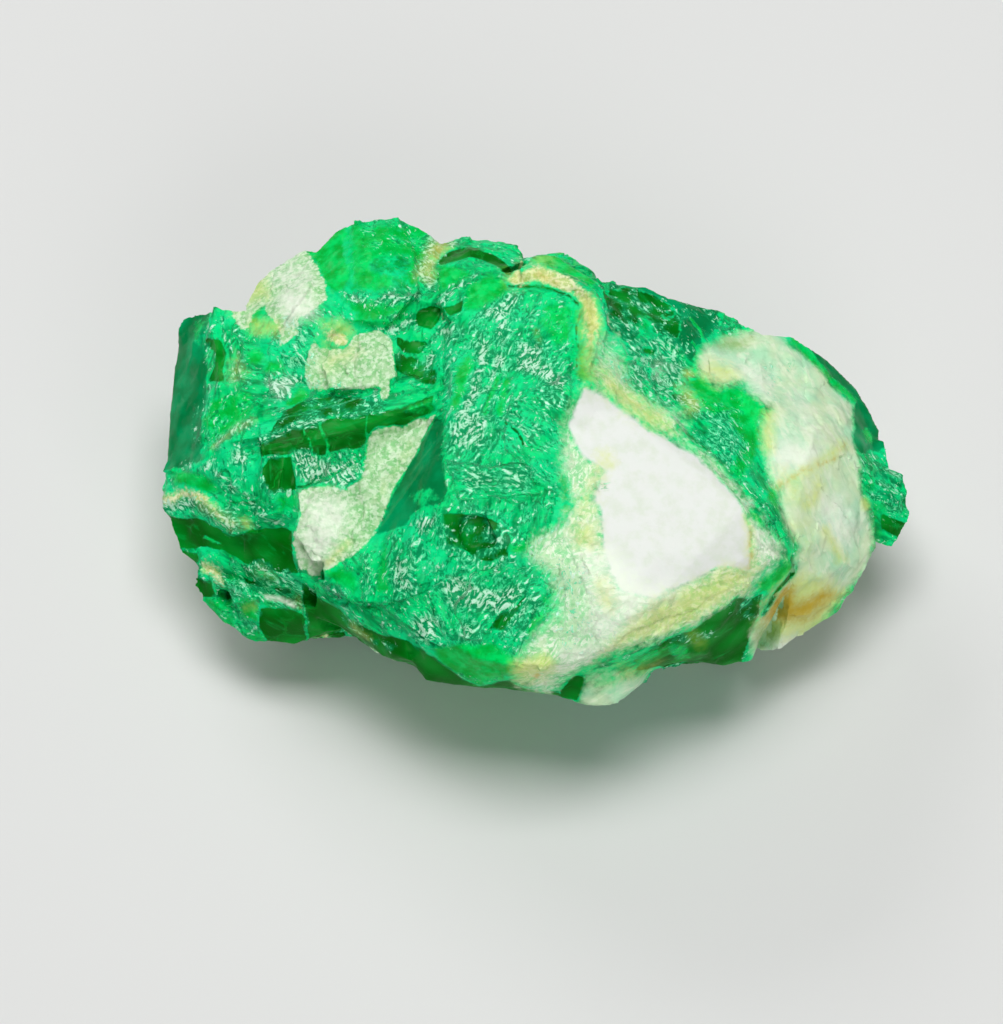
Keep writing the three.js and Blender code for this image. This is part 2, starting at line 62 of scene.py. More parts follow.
ACROSS = np.array([1.0, 0.0, 0.0])
UP = np.array([0.0, math.sin(SHOW_ELEVATION), math.cos(SHOW_ELEVATION)])
TO_EYE = np.array([0.0, -math.cos(SHOW_ELEVATION), math.sin(SHOW_ELEVATION)])
EYE = AIM + EYE_DISTANCE * TO_EYE

# Mesh sizes in millimetres, and the most triangles that the finished stone has
VOXEL = 0.115
SMOOTH_ROUNDS = 2
SMOOTH_SHARE = 0.5
MOST_TRIANGLES = 196000
SHARP_ANGLE = math.radians(38)

# The relief fades out towards the flat underside, over these heights
FLAT_BELOW = 0.25
FULL_RELIEF_ABOVE = 1.2

# How much of the broken relief is missing on smooth and on pale crystals, how much of all chips is
# missing on the white plate, and the least share that the small chips keep
SMOOTH_KINDS = ("dark", "bright", "teal", "white")
PALE_KINDS = ("grey", "sugar", "cream", "mint")
LESS_ON_SMOOTH = 0.75
LESS_ON_PALE = 0.35
LESS_ON_WHITE = 0.8
SMALL_CHIPS_LEFT = 0.25

# Chips of the broken surface, stretched along the fibres. Each is a plane that tilts and steps.
LARGE_CHIPS = {"height": 0.17, "spacing": 1.5, "stretch": 1.7}
SMALL_CHIPS = {"height": 0.06, "spacing": 0.6, "stretch": 1.5}
CHIP_TILT = 1.6
CHIP_STEP = 0.9

# The rest of the relief, in millimetres: how high each pattern stands and how far apart its bumps
# lie. Ridges run along the fibres in frost, crumbs lie in crust, and grains on pale quartz. The
# cream veins stand out, the dark faces lie lower, and all of it is sunk to keep inside the box.
RIDGE_HEIGHT = 0.07
RIDGE_SPACING = np.array([2.2, 0.42, 0.6])
CRUMB_HEIGHT = 0.09
CRUMB_SPACING = 0.55
GRAIN_HEIGHT = 0.035
GRAIN_SPACING = 0.3
MINT_GRAINS = 0.2
MINT_SWELL = 0.05
MINT_SWELL_SPACING = 1.6
CREAM_RISE = 0.1
CREAM_GRAINS = 0.05
DUST_HEIGHT = 0.02
DUST_SPACING = 0.25
DARK_DROP = 0.06
WHOLE_DROP = 0.06

# Sight ends over these depths behind the nearest surface, which is found in squares of this size
SEEN_WITHIN = 0.9
HIDDEN_BEYOND = 2.2
SIGHT_CELL = 0.3

# Points scattered one to a cell of noise keep this share of the cell away from its walls
CELL_EDGE = 0.1

# Seeds of the repeatable noise, one for each pattern. Where a pattern has more parts, they take the
# seeds that follow.
SEEDS = {
    "hidden wobble": 40,
    "hidden cells": 50,
    "hidden kinds": 60,
    "hidden fibres": 65,
    "veins": 70,
    "yellow stains": 80,
    "ochre stains": 81,
    "large chips": 100,
    "small chips": 120,
    "ridges": 140,
    "crumbs": 150,
    "grains": 160,
    "mint swell": 170,
    "dust": 180,
    "borders across": 200,
    "borders up": 210,
    "fibres across": 230,
    "fibres up": 231,
}

# Crystal kinds that cover what lies under them, and marks that lie on any of them, each with the
# distance over which its border fades
GROUNDS = {
    "dark": 0.14,
    "bright": 0.36,
    "teal": 0.2,
    "grey": 0.22,
    "mint": 0.45,
    "sugar": 0.6,
    "white": 0.25,
    "cream": 0.3,
}
# Crust marks stand for pale crust, and some of them for painted glints and highlights along edges
MARKS = {"frost": 0.5, "crust_and_glint": 0.3, "pale": 0.7, "ochre": 0.4, "yellow": 0.6, "olive": 0.4}
KINDS = {**GROUNDS, **MARKS}

# A thin line's border fades over less: this distance and this share of the line's width
LINE_FADE = 0.06
LINE_FADE_SHARE = 0.9

# Borders wander by these distances, over bumps that lie a spacing apart, and so do the fibres' areas
WANDER = [(0.1, 0.6), (0.16, 1.7)]
FIBRE_WANDER = 0.6
FIBRE_WANDER_SPACING = 1.1

# Where the photograph's view doesn't reach, cells of space get kinds, each for a share of the cells
HIDDEN_CELL = 6.0
HIDDEN_FADE = 0.6
HIDDEN_WOBBLE = 0.7
HIDDEN_WOBBLE_SPACING = 2.2
HIDDEN_KINDS = [
    (0.24, {"frost": 0.7}),
    (0.12, {"dark": 0.95}),
    (0.12, {"teal": 0.95, "frost": 0.25}),
    (0.14, {"bright": 0.8, "frost": 0.5}),
    (0.1, {"crust_and_glint": 0.7}),
    (0.08, {"grey": 0.9, "crust_and_glint": 0.3}),
    (0.08, {"sugar": 0.9}),
    (0.12, {"frost": 0.5, "olive": 0.3}),
]

# The pale right end goes on round the hidden sides, between these places across, and fades there
PALE_FROM = 10.5
PALE_FROM_FADE = 1.5
PALE_TO = 17.2
PALE_TO_FADE = 1.2
PALE_SHARE = 0.9

# Cream veins run along the borders of some hidden cells, and stains lie on the cells. They come in
# patches, each pattern by the spacing of its noise and the values between which the patches rise.
VEIN_FULL_WITHIN = 0.09
VEIN_ENDS_AT = 0.39
VEIN_SHARE = 0.9
YELLOW_SHARE = 0.6
PATCHES = {
    "veins": (4.0, 0.25, 0.5),
    "yellow stains": (3.5, 0.35, 0.85),
    "ochre stains": (4.5, 0.633, 0.967),
}

# Patterns of the material, in bumps per millimetre. Strands, depths and wisps run along the fibres,
# and the wisps' noise is read at two places a little apart, to tell which way each wisp faces.
WIDE_SCALE = 0.45
CLOUD_SCALE = 1.3
EDGE_SCALE = 2.6
GRAIN_SCALE = 4.6
FACET_SCALE = (2.4, 3.2, 3.0)
STRAND_SCALE = (0.5, 2.4, 1.6)
DEPTH_SCALE = (0.4, 0.8, 0.8)
WISP_SCALE = (1.5, 2.5, 2.3)
WISP_PLACES = [(7.0, 3.0, 1.0), (7.24, 3.3, 1.0)]

# The material's colours, as screen values. Each kind has a base, and colours over it where a
# pattern rises from one value to another, up to a share.
TONES = {
    "green": [
        (0, 144, 76),
        ("strands", 0.36, 0.58, 1.0, (0, 218, 122)),
        ("wide", 0.42, 0.66, 0.8, (10, 226, 144)),
    ],
    "dark": [
        (0, 142, 38),
        ("depth", 0.15, 0.75, 1.0, (0, 98, 10)),
        ("strands", 0.54, 0.7, 0.6, (0, 166, 66)),
    ],
    "bright": [(0, 174, 56), ("clouds", 0.36, 0.64, 1.0, (0, 214, 98))],
    "teal": [(0, 122, 64), ("wide", 0.4, 0.6, 1.0, (0, 152, 90))],
    "grey": [
        (140, 202, 136),
        ("edges", 0.4, 0.6, 1.0, (178, 216, 166)),
        # Pale grains, partly painted sparkle
        ("grains", 0.46, 0.6, 0.75, (216, 236, 206)),
    ],
    "mint": [
        (206, 226, 184),
        ("wide", 0.36, 0.62, 1.0, (172, 220, 180)),
        ("strands", 0.46, 0.66, 0.6, (226, 236, 208)),
    ],
    "sugar": [
        (150, 218, 156),
        ("clouds", 0.38, 0.6, 1.0, (200, 230, 186)),
        # Painted glints: the sugar is paler where its fine wisps face a light from one side
        ("lit", -0.02, 0.1, 0.85, (234, 244, 222)),
    ],
    "cream": [(184, 204, 128), ("grains", 0.4, 0.6, 1.0, (228, 232, 184))],
    "white": [(222, 225, 219), ("clouds", 0.4, 0.7, 1.0, (213, 220, 206))],
}

# How soft each kind's border is in the material, and how much it is broken up. Kinds that come
# later lie over the ones before them.
BORDERS = {
    "dark": (0.12, 0.5),
    "bright": (0.25, 0.9),
    "teal": (0.14, 0.5),
    "grey": (0.12, 0.7),
    "mint": (0.35, 0.6),
    "sugar": (0.45, 1.0),
    "cream": (0.22, 0.9),
    "white": (0.24, 0.45),
}

# How much of the green's veil and painted shade beside the flecks each kind shows
GREENNESS = {kind: 1.0 if kind in ("dark", "bright", "teal") else 0.15 for kind in BORDERS}

# Dullness, which is the shader's roughness: smooth faces shine, grainy quartz doesn't
GREEN_DULLNESS = 0.36
FLECK_DULLNESS = 0.45
DULLNESS = {
    "dark": 0.3,
    "bright": 0.26,
    "teal": 0.2,
    "grey": 0.5,
    "mint": 0.32,
    "sugar": 0.45,
    "cream": 0.5,
    "white": 0.24,
}

# The fine relief that only the shading shows: how strong it is, the height in millimetres that
# stands for 1, each kind's share of the ripples, and the heights of what it is made of.
# Sugar and cream keep the share of what lies under them.
BUMP_STRENGTH = 0.9
BUMP_HEIGHT = 0.05
GREEN_RIPPLES = 0.5
RIPPLES = {"dark": 0.05, "bright": 0.2, "teal": 0.03, "grey": 0.5, "mint": 0.2, "white": 0.02}
STRAND_HEIGHT = 1.6
FACET_HEIGHT = 7.0
FLECK_HEIGHT = 0.6

# Flecks, painted shade and the veil. Flecks are pale fibres, painted lighter as highlights where the
# wisps face a light from one side, and the painted shade is dark green on the wisps' other side.
# Frost counts for less than crust, clouds make all three denser in some places than in others, and
# each has a most that it shows. A fleck or the painted shade shows where the light differs by more
# than a level, which falls from one value without frost to another in full frost.
FROST_SHARE = 0.7
CLOUDING = 0.6
FLECK_LEVELS = (0.17, -0.01)
FLECK_SHARE = 0.9
PAINTED_SHADE_SHARE = 0.7
VEIL_SHARE = 0.5
FLECK_TONE = (70, 222, 154)
# The most lit flecks take a painted highlight tone
PAINTED_HIGHLIGHT_TONE = (206, 248, 222)
CRUST_FLECK_TONE = (206, 242, 218)
# Painted shade: dark green on the wisps' side away from the light
PAINTED_SHADE_TONE = (0, 112, 60)
VEIL_TONE = (40, 220, 150)

# Pale patches and stains: their colours, and the most that they show
STAIN_WOBBLE = 0.6
STAINS = {
    "pale": ((232, 240, 222), 0.9),
    "yellow": ((208, 220, 112), 0.7),
    "olive": ((112, 160, 44), 0.75),
    "ochre": ((188, 158, 34), 0.9),
}

# The values between which each effect of the material rises. The painted shade rises towards the
# lower value.
RAMPS = {
    "kind begins": (0.0, 0.2),
    "clouding": (0.34, 0.66),
    "frost begins": (0.02, 0.2),
    "flecks begin": (-0.1, 0.4),
    "fleck level": (0.0, 1.0),
    "veil": (0.2, 1.2),
    "painted shade": (0.01, -0.06),
    "fleck": (0.0, 0.06),
    "painted highlight": (0.1, 0.24),
    "crust fleck": (0.4, 1.0),
    "stain begins": (0.0, 0.3),
    "stain": (0.1, 1.0),
}

# How the stone takes light: a weak mirror shine, and a shallow glow under the surface
SHADER_VALUES = {
    "IOR": 1.5,
    "Specular IOR Level": 0.06,
    "Subsurface Weight": 0.3,
    "Subsurface Radius": (0.65, 0.8, 0.7),
    "Subsurface Scale": 0.5 * MM,
}

# The studio, in metres: each light's place, its width and height, and its power in watts
LIGHTS = {
    "overhead": ((0.0, 0.02, 0.32), (0.2, 0.14), 0.82),
    "back": ((-0.16, 0.26, 0.22), (0.2, 0.1), 0.36),
    "front_fill": ((0.1, -0.34, 0.18), (0.3, 0.2), 0.52),
}
LIGHTS_AIM = (0.0, 0.0, 0.008)
SKY = (0.9, 0.95, 1.0, 1.0)
SKY_STRENGTH = 0.14
FLOOR_HALF = 0.6
FLOOR_DROP = 0.02 * MM
FLOOR_TONE = (214, 214, 212)
FLOOR_DULLNESS = 0.8
NEAR_CLIP = 0.01

# Zones that the photograph shows, as corners (across, up) in millimetres from the picture's middle


def area(kind, *corners, share=1.0):
    return {"kind": kind, "points": corners, "closed": True, "width": 0.0, "share": share}


def areas(shares, *corners):
    """Areas of several kinds with the same corners, from the share of each kind."""
    return [area(kind, *corners, share=share) for kind, share in shares.items()]


def line(kind, width, *points, share=1.0):
    """A stroke along points, which reaches its width to either side of them."""
    return {"kind": kind, "points": points, "closed": False, "width": width, "share": share}


def lines(kind, width, *routes, share=1.0):
    """Lines of one kind and one width."""
    return [line(kind, width, *route, share=share) for route in routes]


def left_end_zones():
    return [
        # The dark smooth prism face and the blades beside it
        area("teal", (-16.6, 9.9), (-14.6, 10.1), (-14.6, 9), (-14.9, 7.6), (-14.6, 6), (-14.9, 4.6),
             (-15.2, 3.4), (-15, 2.7), (-15.9, 2.2), (-16.9, 2), (-16.8, 6)),
        area("bright", (-15.5, 9.6), (-14.6, 9.8), (-14.8, 8.8), (-15, 7.9), (-15.5, 8.7), share=0.6),
        area("dark", (-14.7, 8.9), (-14, 8.6), (-13.9, 8.1), (-14, 6.5), (-14.6, 6.5), (-14.4, 7.8)),
        *lines("crust_and_glint", 0.07, [(-13.9, 9.8), (-13.8, 9), (-13.6, 8.1)],
               [(-14.7, 6.4), (-14.4, 6.2), (-14.1, 6.3)]),
        line("crust_and_glint", 0.05, (-14.5, 9.2), (-14.7, 8), (-14.9, 7.4)),
        area("yellow", (-13.9, 6.3), (-13.2, 6.2), (-12.7, 6.9), (-12.9, 8.2), (-13.4, 8.1),
             (-13.8, 7.4), share=0.5),
        area("crust_and_glint", (-13.8, 6.3), (-13.2, 6.2), (-12.8, 6.9), (-13, 8), (-13.5, 7.6), share=0.7),
        area("crust_and_glint", (-13.4, 6.9), (-12.9, 7.4), (-12.3, 7.3), (-12, 6.9), (-12.7, 6.6), share=0.7),
        area("bright", (-12.9, 7.9), (-12.5, 8.2), (-12, 7.9), (-12, 7.4), (-12.6, 7.3)),
        # Green patches between cream lines
        area("bright", (-14.9, 4.6), (-14.4, 5.5), (-13.2, 6), (-12.5, 5.8), (-12.4, 5.1), (-13.6, 4),
             (-14.5, 3.5)),
        area("frost", (-15, 4.6), (-14.4, 5.5), (-13.2, 6), (-12.5, 5.8), (-12.4, 5.1), (-13.6, 4),
             (-14.6, 3), share=0.5),
        line("yellow", 0.2, (-14.4, 3.3), (-13.4, 3.9), (-12.4, 4.7), share=0.5),
        line("crust_and_glint", 0.14, (-14.3, 3.35), (-13.4, 3.9), (-12.5, 4.6)),
        area("crust_and_glint", (-15.4, 4.4), (-15, 5.6), (-14.6, 5.8), (-14.8, 4.6), (-15.2, 3.4), share=0.4),
        area("crust_and_glint", (-13.4, 3), (-13, 3.2), (-12.6, 3), (-12.5, 2.4), (-12.9, 2.1), (-13.2, 2.4)),
        *lines("crust_and_glint", 0.2, [(-15.7, 2.3), (-15, 2.2), (-14.6, 2.5)],
               [(-14.5, 2.1), (-13.8, 1.6), (-13.3, 1.1)]),
        area("bright", (-16.4, 2), (-15.4, 2), (-14.5, 1.6), (-14, 1), (-15.2, 1), (-16.3, 1.3)),
        # The cream vein, and the prism face under it, dark green partly as painted shade where it faces
        # down
        line("cream", 0.3, (-17, 0.7), (-16, 0.9), (-15, 0.6), (-14.4, 0.2), share=0.75),
        line("cream", 0.2, (-14.4, 0.1), (-13.9, -0.4), (-13.4, -0.6), share=0.7),
        line("crust_and_glint", 0.4, (-17, 0.6), (-15, 0.3), (-13.4, -0.6), share=0.9),
        line("yellow", 0.4, (-15, 0.4), (-13.4, -0.6), share=0.5),
        line("yellow", 0.25, (-12.8, -0.5), (-12.7, -0.9), share=0.7),
        line("crust_and_glint", 0.25, (-13.6, 0.4), (-13.6, 0.1), share=0.8),
        line("crust_and_glint", 0.2, (-12.7, 0.8), (-12.4, 0.4)),
        line("crust_and_glint", 0.16, (-12.3, 0), (-11.8, -0.2), (-11.2, -0.6)),
        area("dark", (-16.8, 0), (-14.6, -0.6), (-13.5, -1.1), (-12, -0.8), (-10.6, -0.9),
             (-10.6, -2.2), (-10.2, -3), (-11.5, -3), (-13, -2.5), (-14.4, -1.9), (-16, -1.8)),
        *lines("bright", 0.05, [(-14.8, -1.4), (-14, -1.7)], [(-14, -2), (-13, -2.6)]),
    ]


def lower_left_zones():
    return [
        area("bright", (-15.4, -3.4), (-13.8, -3), (-10.6, -3.2), (-9, -3.6), (-9, -5), (-11, -7),
             (-13.4, -7), (-15.6, -4.6), share=0.55),
        area("frost", (-15.8, -3), (-10.6, -3), (-9, -4), (-9, -6), (-13.4, -6), (-15.6, -4.6),
             share=0.7),
        area("crust_and_glint", (-13.4, -2.9), (-10.6, -3.1), (-9.6, -4), (-10.4, -4.8), (-12.4, -4.4), share=0.6),
        area("dark", (-12.9, -3.2), (-12.2, -3.3), (-11.8, -3.8), (-12.6, -3.7), share=0.8),
        area("dark", (-11.4, -3.7), (-10.6, -3.8), (-10.4, -4.2), (-11.2, -4.1), share=0.8),
        area("crust_and_glint", (-15.3, -2.5), (-14.5, -2.3), (-13.8, -3), (-13.6, -3.9), (-14.3, -3.4),
             (-15.1, -3)),
        area("cream", (-15.1, -2.5), (-14.5, -2.4), (-13.9, -3), (-13.7, -3.8), (-14.3, -3.4),
             (-14.9, -3), share=0.8),
        area("dark", (-15.6, -3.1), (-14.5, -3.4), (-14.2, -4.1), (-15.2, -4.4)),
        line("dark", 0.25, (-15.9, -2.2), (-15.3, -2.3)),
        line("crust_and_glint", 0.2, (-12.7, -2.8), (-11.8, -2.9)),
        line("olive", 0.25, (-12.2, -2.9), (-11.4, -3.3), share=0.6),
        line("crust_and_glint", 0.16, (-13.1, -3.7), (-12.6, -3.8), (-12, -4.1)),
        line("crust_and_glint", 0.14, (-13.3, -4.1), (-13, -4.4)),
        # A painted glint along the lower lump's edge
        line("crust_and_glint", 0.2, (-11.7, -4.3), (-10.9, -4.4), (-10.4, -4.7)),
        line("pale", 0.15, (-11.7, -4.35), (-10.9, -4.45), (-10.4, -4.7)),
        line("olive", 0.35, (-10.2, -4.4), (-9.5, -5), share=0.5),
        line("crust_and_glint", 0.3, (-10, -4.6), (-9.4, -4.9), share=0.8),
        line("yellow", 0.3, (-10, -4.5), (-9.4, -4.8), share=0.6),
        line("crust_and_glint", 0.2, (-9.9, -3.7), (-9.4, -3.9), share=0.8),
        line("crust_and_glint", 0.14, (-9, -3.6), (-8.4, -3.9), (-8.1, -4.3)),
        area("bright", (-13.2, -4.5), (-12.4, -4.4), (-12, -4.9), (-12.2, -5.5), (-12.9, -5.4)),
        line("yellow", 0.2, (-12.8, -4.9), (-12.3, -4.8), share=0.6),
        line("crust_and_glint", 0.1, (-12.8, -6.2), (-12.2, -5.6), (-12, -5)),
        area("dark", (-12, -4.9), (-10.6, -4.9), (-9.9, -5.2), (-9.8, -6.8), (-11.5, -6.8),
             (-12.2, -5.7)),
        # Painted shade: the underside of the overhang along the lower edge, given the dark crystals'
        # colour
        area("dark", (-10, -3.5), (-9.2, -4.1), (-7.7, -5.3), (-6, -6), (-4.7, -6.4), (-3.4, -7.3),
             (-2.3, -8.2), (-1.2, -8.8), (0.3, -8.3), (1.3, -8.7), (3.8, -8.9), (3.8, -10), (-4, -9.6),
             (-7, -7.6), (-9.6, -6.8)),
        line("crust_and_glint", 0.16, (-8, -4.7), (-7.4, -5.6), (-6.6, -6.2), (-5.6, -6.6), share=0.8),
        line("yellow", 0.2, (-7.4, -5.6), (-6.6, -6.2), share=0.6),
    ]


def back_left_zones():
    return [
        # The pale quartz lump at the corner
        area("grey", (-13.6, 10.4), (-12.9, 12.4), (-11.6, 13.3), (-10.4, 14), (-9.5, 13.5),
             (-9, 12.2), (-8.7, 11.3), (-8.9, 10.5), (-9.9, 9.7), (-10.1, 8.9), (-11.2, 8.3),
             (-11.2, 9.2), (-11.9, 10.2), (-12.4, 9.4), (-13, 9.2)),
        area("pale", (-12, 11.6), (-10.4, 13.2), (-9.3, 12.4), (-9.2, 10.4), (-10.8, 10.4), share=0.55),
        # A painted highlight on the quartz lump
        area("pale", (-11.2, 10.6), (-10.6, 11.2), (-9.4, 10.6), (-9.4, 9.8), (-10.6, 9.4)),
        area("crust_and_glint", (-10.4, 10), (-9.8, 9.6), (-10.6, 8.6), (-11.6, 8), (-11.4, 8.8), share=0.8),
        area("yellow", (-13.4, 10), (-12.6, 12.4), (-11.7, 12.2), (-11.6, 10.6), share=0.8),
        area("bright", (-12.5, 9.5), (-12.3, 10), (-12, 10.4), (-12.1, 9.8), (-12.3, 9.4)),
        line("yellow", 0.4, (-12.3, 9.3), (-11.3, 9.2), share=0.75),
        area("yellow", (-9, 9.3), (-8.2, 9.5), (-7.5, 9.2), (-7.4, 8.4), (-8, 8.1), (-9, 8.3)),
        line("cream", 0.3, (-8.7, 8.7), (-8, 8.5), share=0.8),
        line("ochre", 0.3, (-8.7, 8.9), (-8, 8.8), share=0.25),
        # Mottled green between the lump and the pale plate in front of it
        area("crust_and_glint", (-10, 9.8), (-9.6, 9.5), (-9.3, 8), (-9.9, 7.2), (-11.4, 6.9), (-11.9, 7.2),
             (-10.6, 8.2), share=0.6),
        line("bright", 0.35, (-11.5, 7.2), (-11.2, 7.3)),
        area("crust_and_glint", (-11.9, 6.8), (-10.8, 6.9), (-9.9, 7.1), (-9.4, 7.6), (-9.5, 6.6), (-10.4, 6.2),
             (-11, 5.4), (-11.6, 6)),
        area("pale", (-11.7, 6.7), (-10.8, 6.9), (-10.1, 6.5), (-10.8, 5.8), (-11.2, 5.6), share=0.45),
        area("bright", (-10.9, 5.5), (-10, 6.3), (-9.6, 6.2), (-9.5, 5.2), (-10.8, 5.2)),
        line("crust_and_glint", 0.12, (-11.1, 5.1), (-10.3, 5)),
        area("grey", (-9.4, 8.6), (-9.1, 8), (-8, 8.1), (-7.3, 8.9), (-6.3, 9.2), (-5.6, 8.7),
             (-5.3, 7.9), (-5.3, 7.1), (-4.9, 6.9), (-5.6, 6.6), (-5.7, 5.8), (-6.1, 5.7), (-6.2, 6.3),
             (-7, 6.2), (-9.5, 6.2), (-9.8, 7)),
        area("yellow", (-9.2, 8), (-7.2, 8.6), (-6.8, 7.6), (-8.8, 6.6), share=0.5),
        line("crust_and_glint", 0.2, (-9.6, 8), (-9.6, 6.4), (-8, 6.2), share=0.8),
        line("crust_and_glint", 0.14, (-6.4, 6.2), (-6.4, 5.7), (-6.2, 5.3)),
        # The dome
        area("bright", (-9.7, 13.2), (-8.6, 14), (-7.6, 14.4), (-7.6, 11.5), (-8.3, 10.8), (-8.7, 11.4)),
        area("bright", (-7.6, 14.6), (-3.4, 14.4), (-3.5, 12.6), (-4.4, 10.8), (-7.6, 11), share=0.75),
        area("bright", (-8.2, 11), (-7.4, 9.4), (-5, 9.1), (-4.5, 10.5), (-7, 10.7), share=0.7),
        line("dark", 0.5, (-6.2, 12.4), (-5, 12.3), share=0.5),
        line("dark", 0.35, (-5.2, 11.5), (-4.9, 11.3), share=0.5),
        area("frost", (-7.4, 14.8), (-3.4, 14.8), (-3.2, 11), (-4.6, 10.8), (-5, 12.4), (-6.6, 13.4),
             share=0.4),
        *lines("crust_and_glint", 0.2, [(-7.9, 10.9), (-7.2, 10.5), (-6.6, 10.2), (-5.8, 10.7), (-4.7, 10.9)],
               [(-5.8, 10.2), (-5, 10.6), (-4.2, 10.8)], [(-6.4, 9.1), (-5.2, 9.2), (-4.4, 9.6)]),
        line("crust_and_glint", 0.12, (-6.2, 9.6), (-5.4, 9.7), (-4.6, 9.9)),
    ]


def back_crystal_zones():
    return [
        area("crust_and_glint", (-4.2, 12.4), (-3.8, 13.6), (-2.6, 14), (-2, 13.1), (-2.9, 12.8), (-3.3, 12.2),
             (-3.1, 11.3), (-3.7, 11.1), (-4.3, 11.7), share=0.9),
        area("yellow", (-4, 12.4), (-3.5, 13.5), (-2.7, 13.8), (-2.6, 13), (-3.3, 12.2), (-3.2, 11.5),
             (-4.2, 11.7), share=0.95),
        area("ochre", (-3.7, 12.9), (-3.1, 13.6), (-2.7, 13.3), (-3.2, 12.5), share=0.5),
        line("dark", 0.24, (-3, 12.5), (-1.6, 13), (-0.5, 12.7), (0.4, 11.9)),
        area("bright", (-3.1, 12.2), (-2.3, 12.3), (-1.6, 11.9), (-2.4, 11.3), (-3.1, 11)),
        area("bright", (-1.6, 11.4), (-0.8, 11.8), (0, 11.7), (0.3, 11.2), (-0.3, 10.6), (-1.4, 10),
             (-2, 10.3)),
        line("crust_and_glint", 0.18, (-3, 10.4), (-2.4, 11.2), (-1.4, 11.8)),
        area("dark", (-5.2, 8.8), (-4.6, 8.5), (-3.7, 8.4), (-4.1, 7.9), (-4.9, 8), (-5.2, 8.4)),
        area("dark", (-4.3, 10), (-3.5, 10.3), (-3, 10.2), (-3.1, 9.6), (-3.5, 9.1), (-4.3, 9.3)),
        area("dark", (-2.9, 10.2), (-2, 10.6), (-1.9, 10.1), (-2.6, 9.8)),
        area("dark", (-5.3, 7.9), (-4.4, 7.8), (-3.2, 7.1), (-3.3, 6.4), (-4.2, 6.5), (-5.2, 7),
             share=0.75),
        area("frost", (-5.3, 7.9), (-3.2, 7.9), (-3.2, 6.6), (-5.2, 6.9), share=0.6),
        area("crust_and_glint", (-3.4, 9.2), (-2.3, 9.8), (-1.9, 9.4), (-2.5, 8.6), (-3.3, 8.7), share=0.8),
        area("crust_and_glint", (-3.9, 7.9), (-3.3, 8.2), (-3.1, 7.3), (-3.8, 7.1), share=0.9),
        # The green lump behind the vein, and the vein
        area("bright", (2, 13.2), (3.4, 13), (5, 11.2), (4, 11.1), (3, 11.8), (1.6, 12.4)),
        area("yellow", (0.8, 12.4), (1.6, 13), (2.8, 12.8), (2.6, 12), (1, 11.8), share=0.6),
        line("cream", 0.36, (0.7, 11.5), (1.3, 11.8), (2, 11.9), (2.9, 11.5), (3.9, 11)),
        line("cream", 0.3, (3.9, 11), (4.4, 10.4), (4.5, 9.3), (4.45, 8.6), share=0.9),
        line("yellow", 0.5, (0.5, 11.5), (1.4, 11.8), (2.2, 11.8), share=0.6),
        line("yellow", 0.45, (4.3, 10.4), (4.5, 9.2), (4.5, 7.6), (4.8, 6.2), share=0.85),
        line("olive", 0.3, (4.5, 8.2), (4.5, 7), (4.8, 6.2), share=0.5),
        line("ochre", 0.2, (1.8, 11.9), (2.7, 11.5), share=0.5),
        line("dark", 0.12, (0.3, 11.3), (2.3, 11.2), (3.3, 10.8), (3.9, 10.2), share=0.7),
    ]


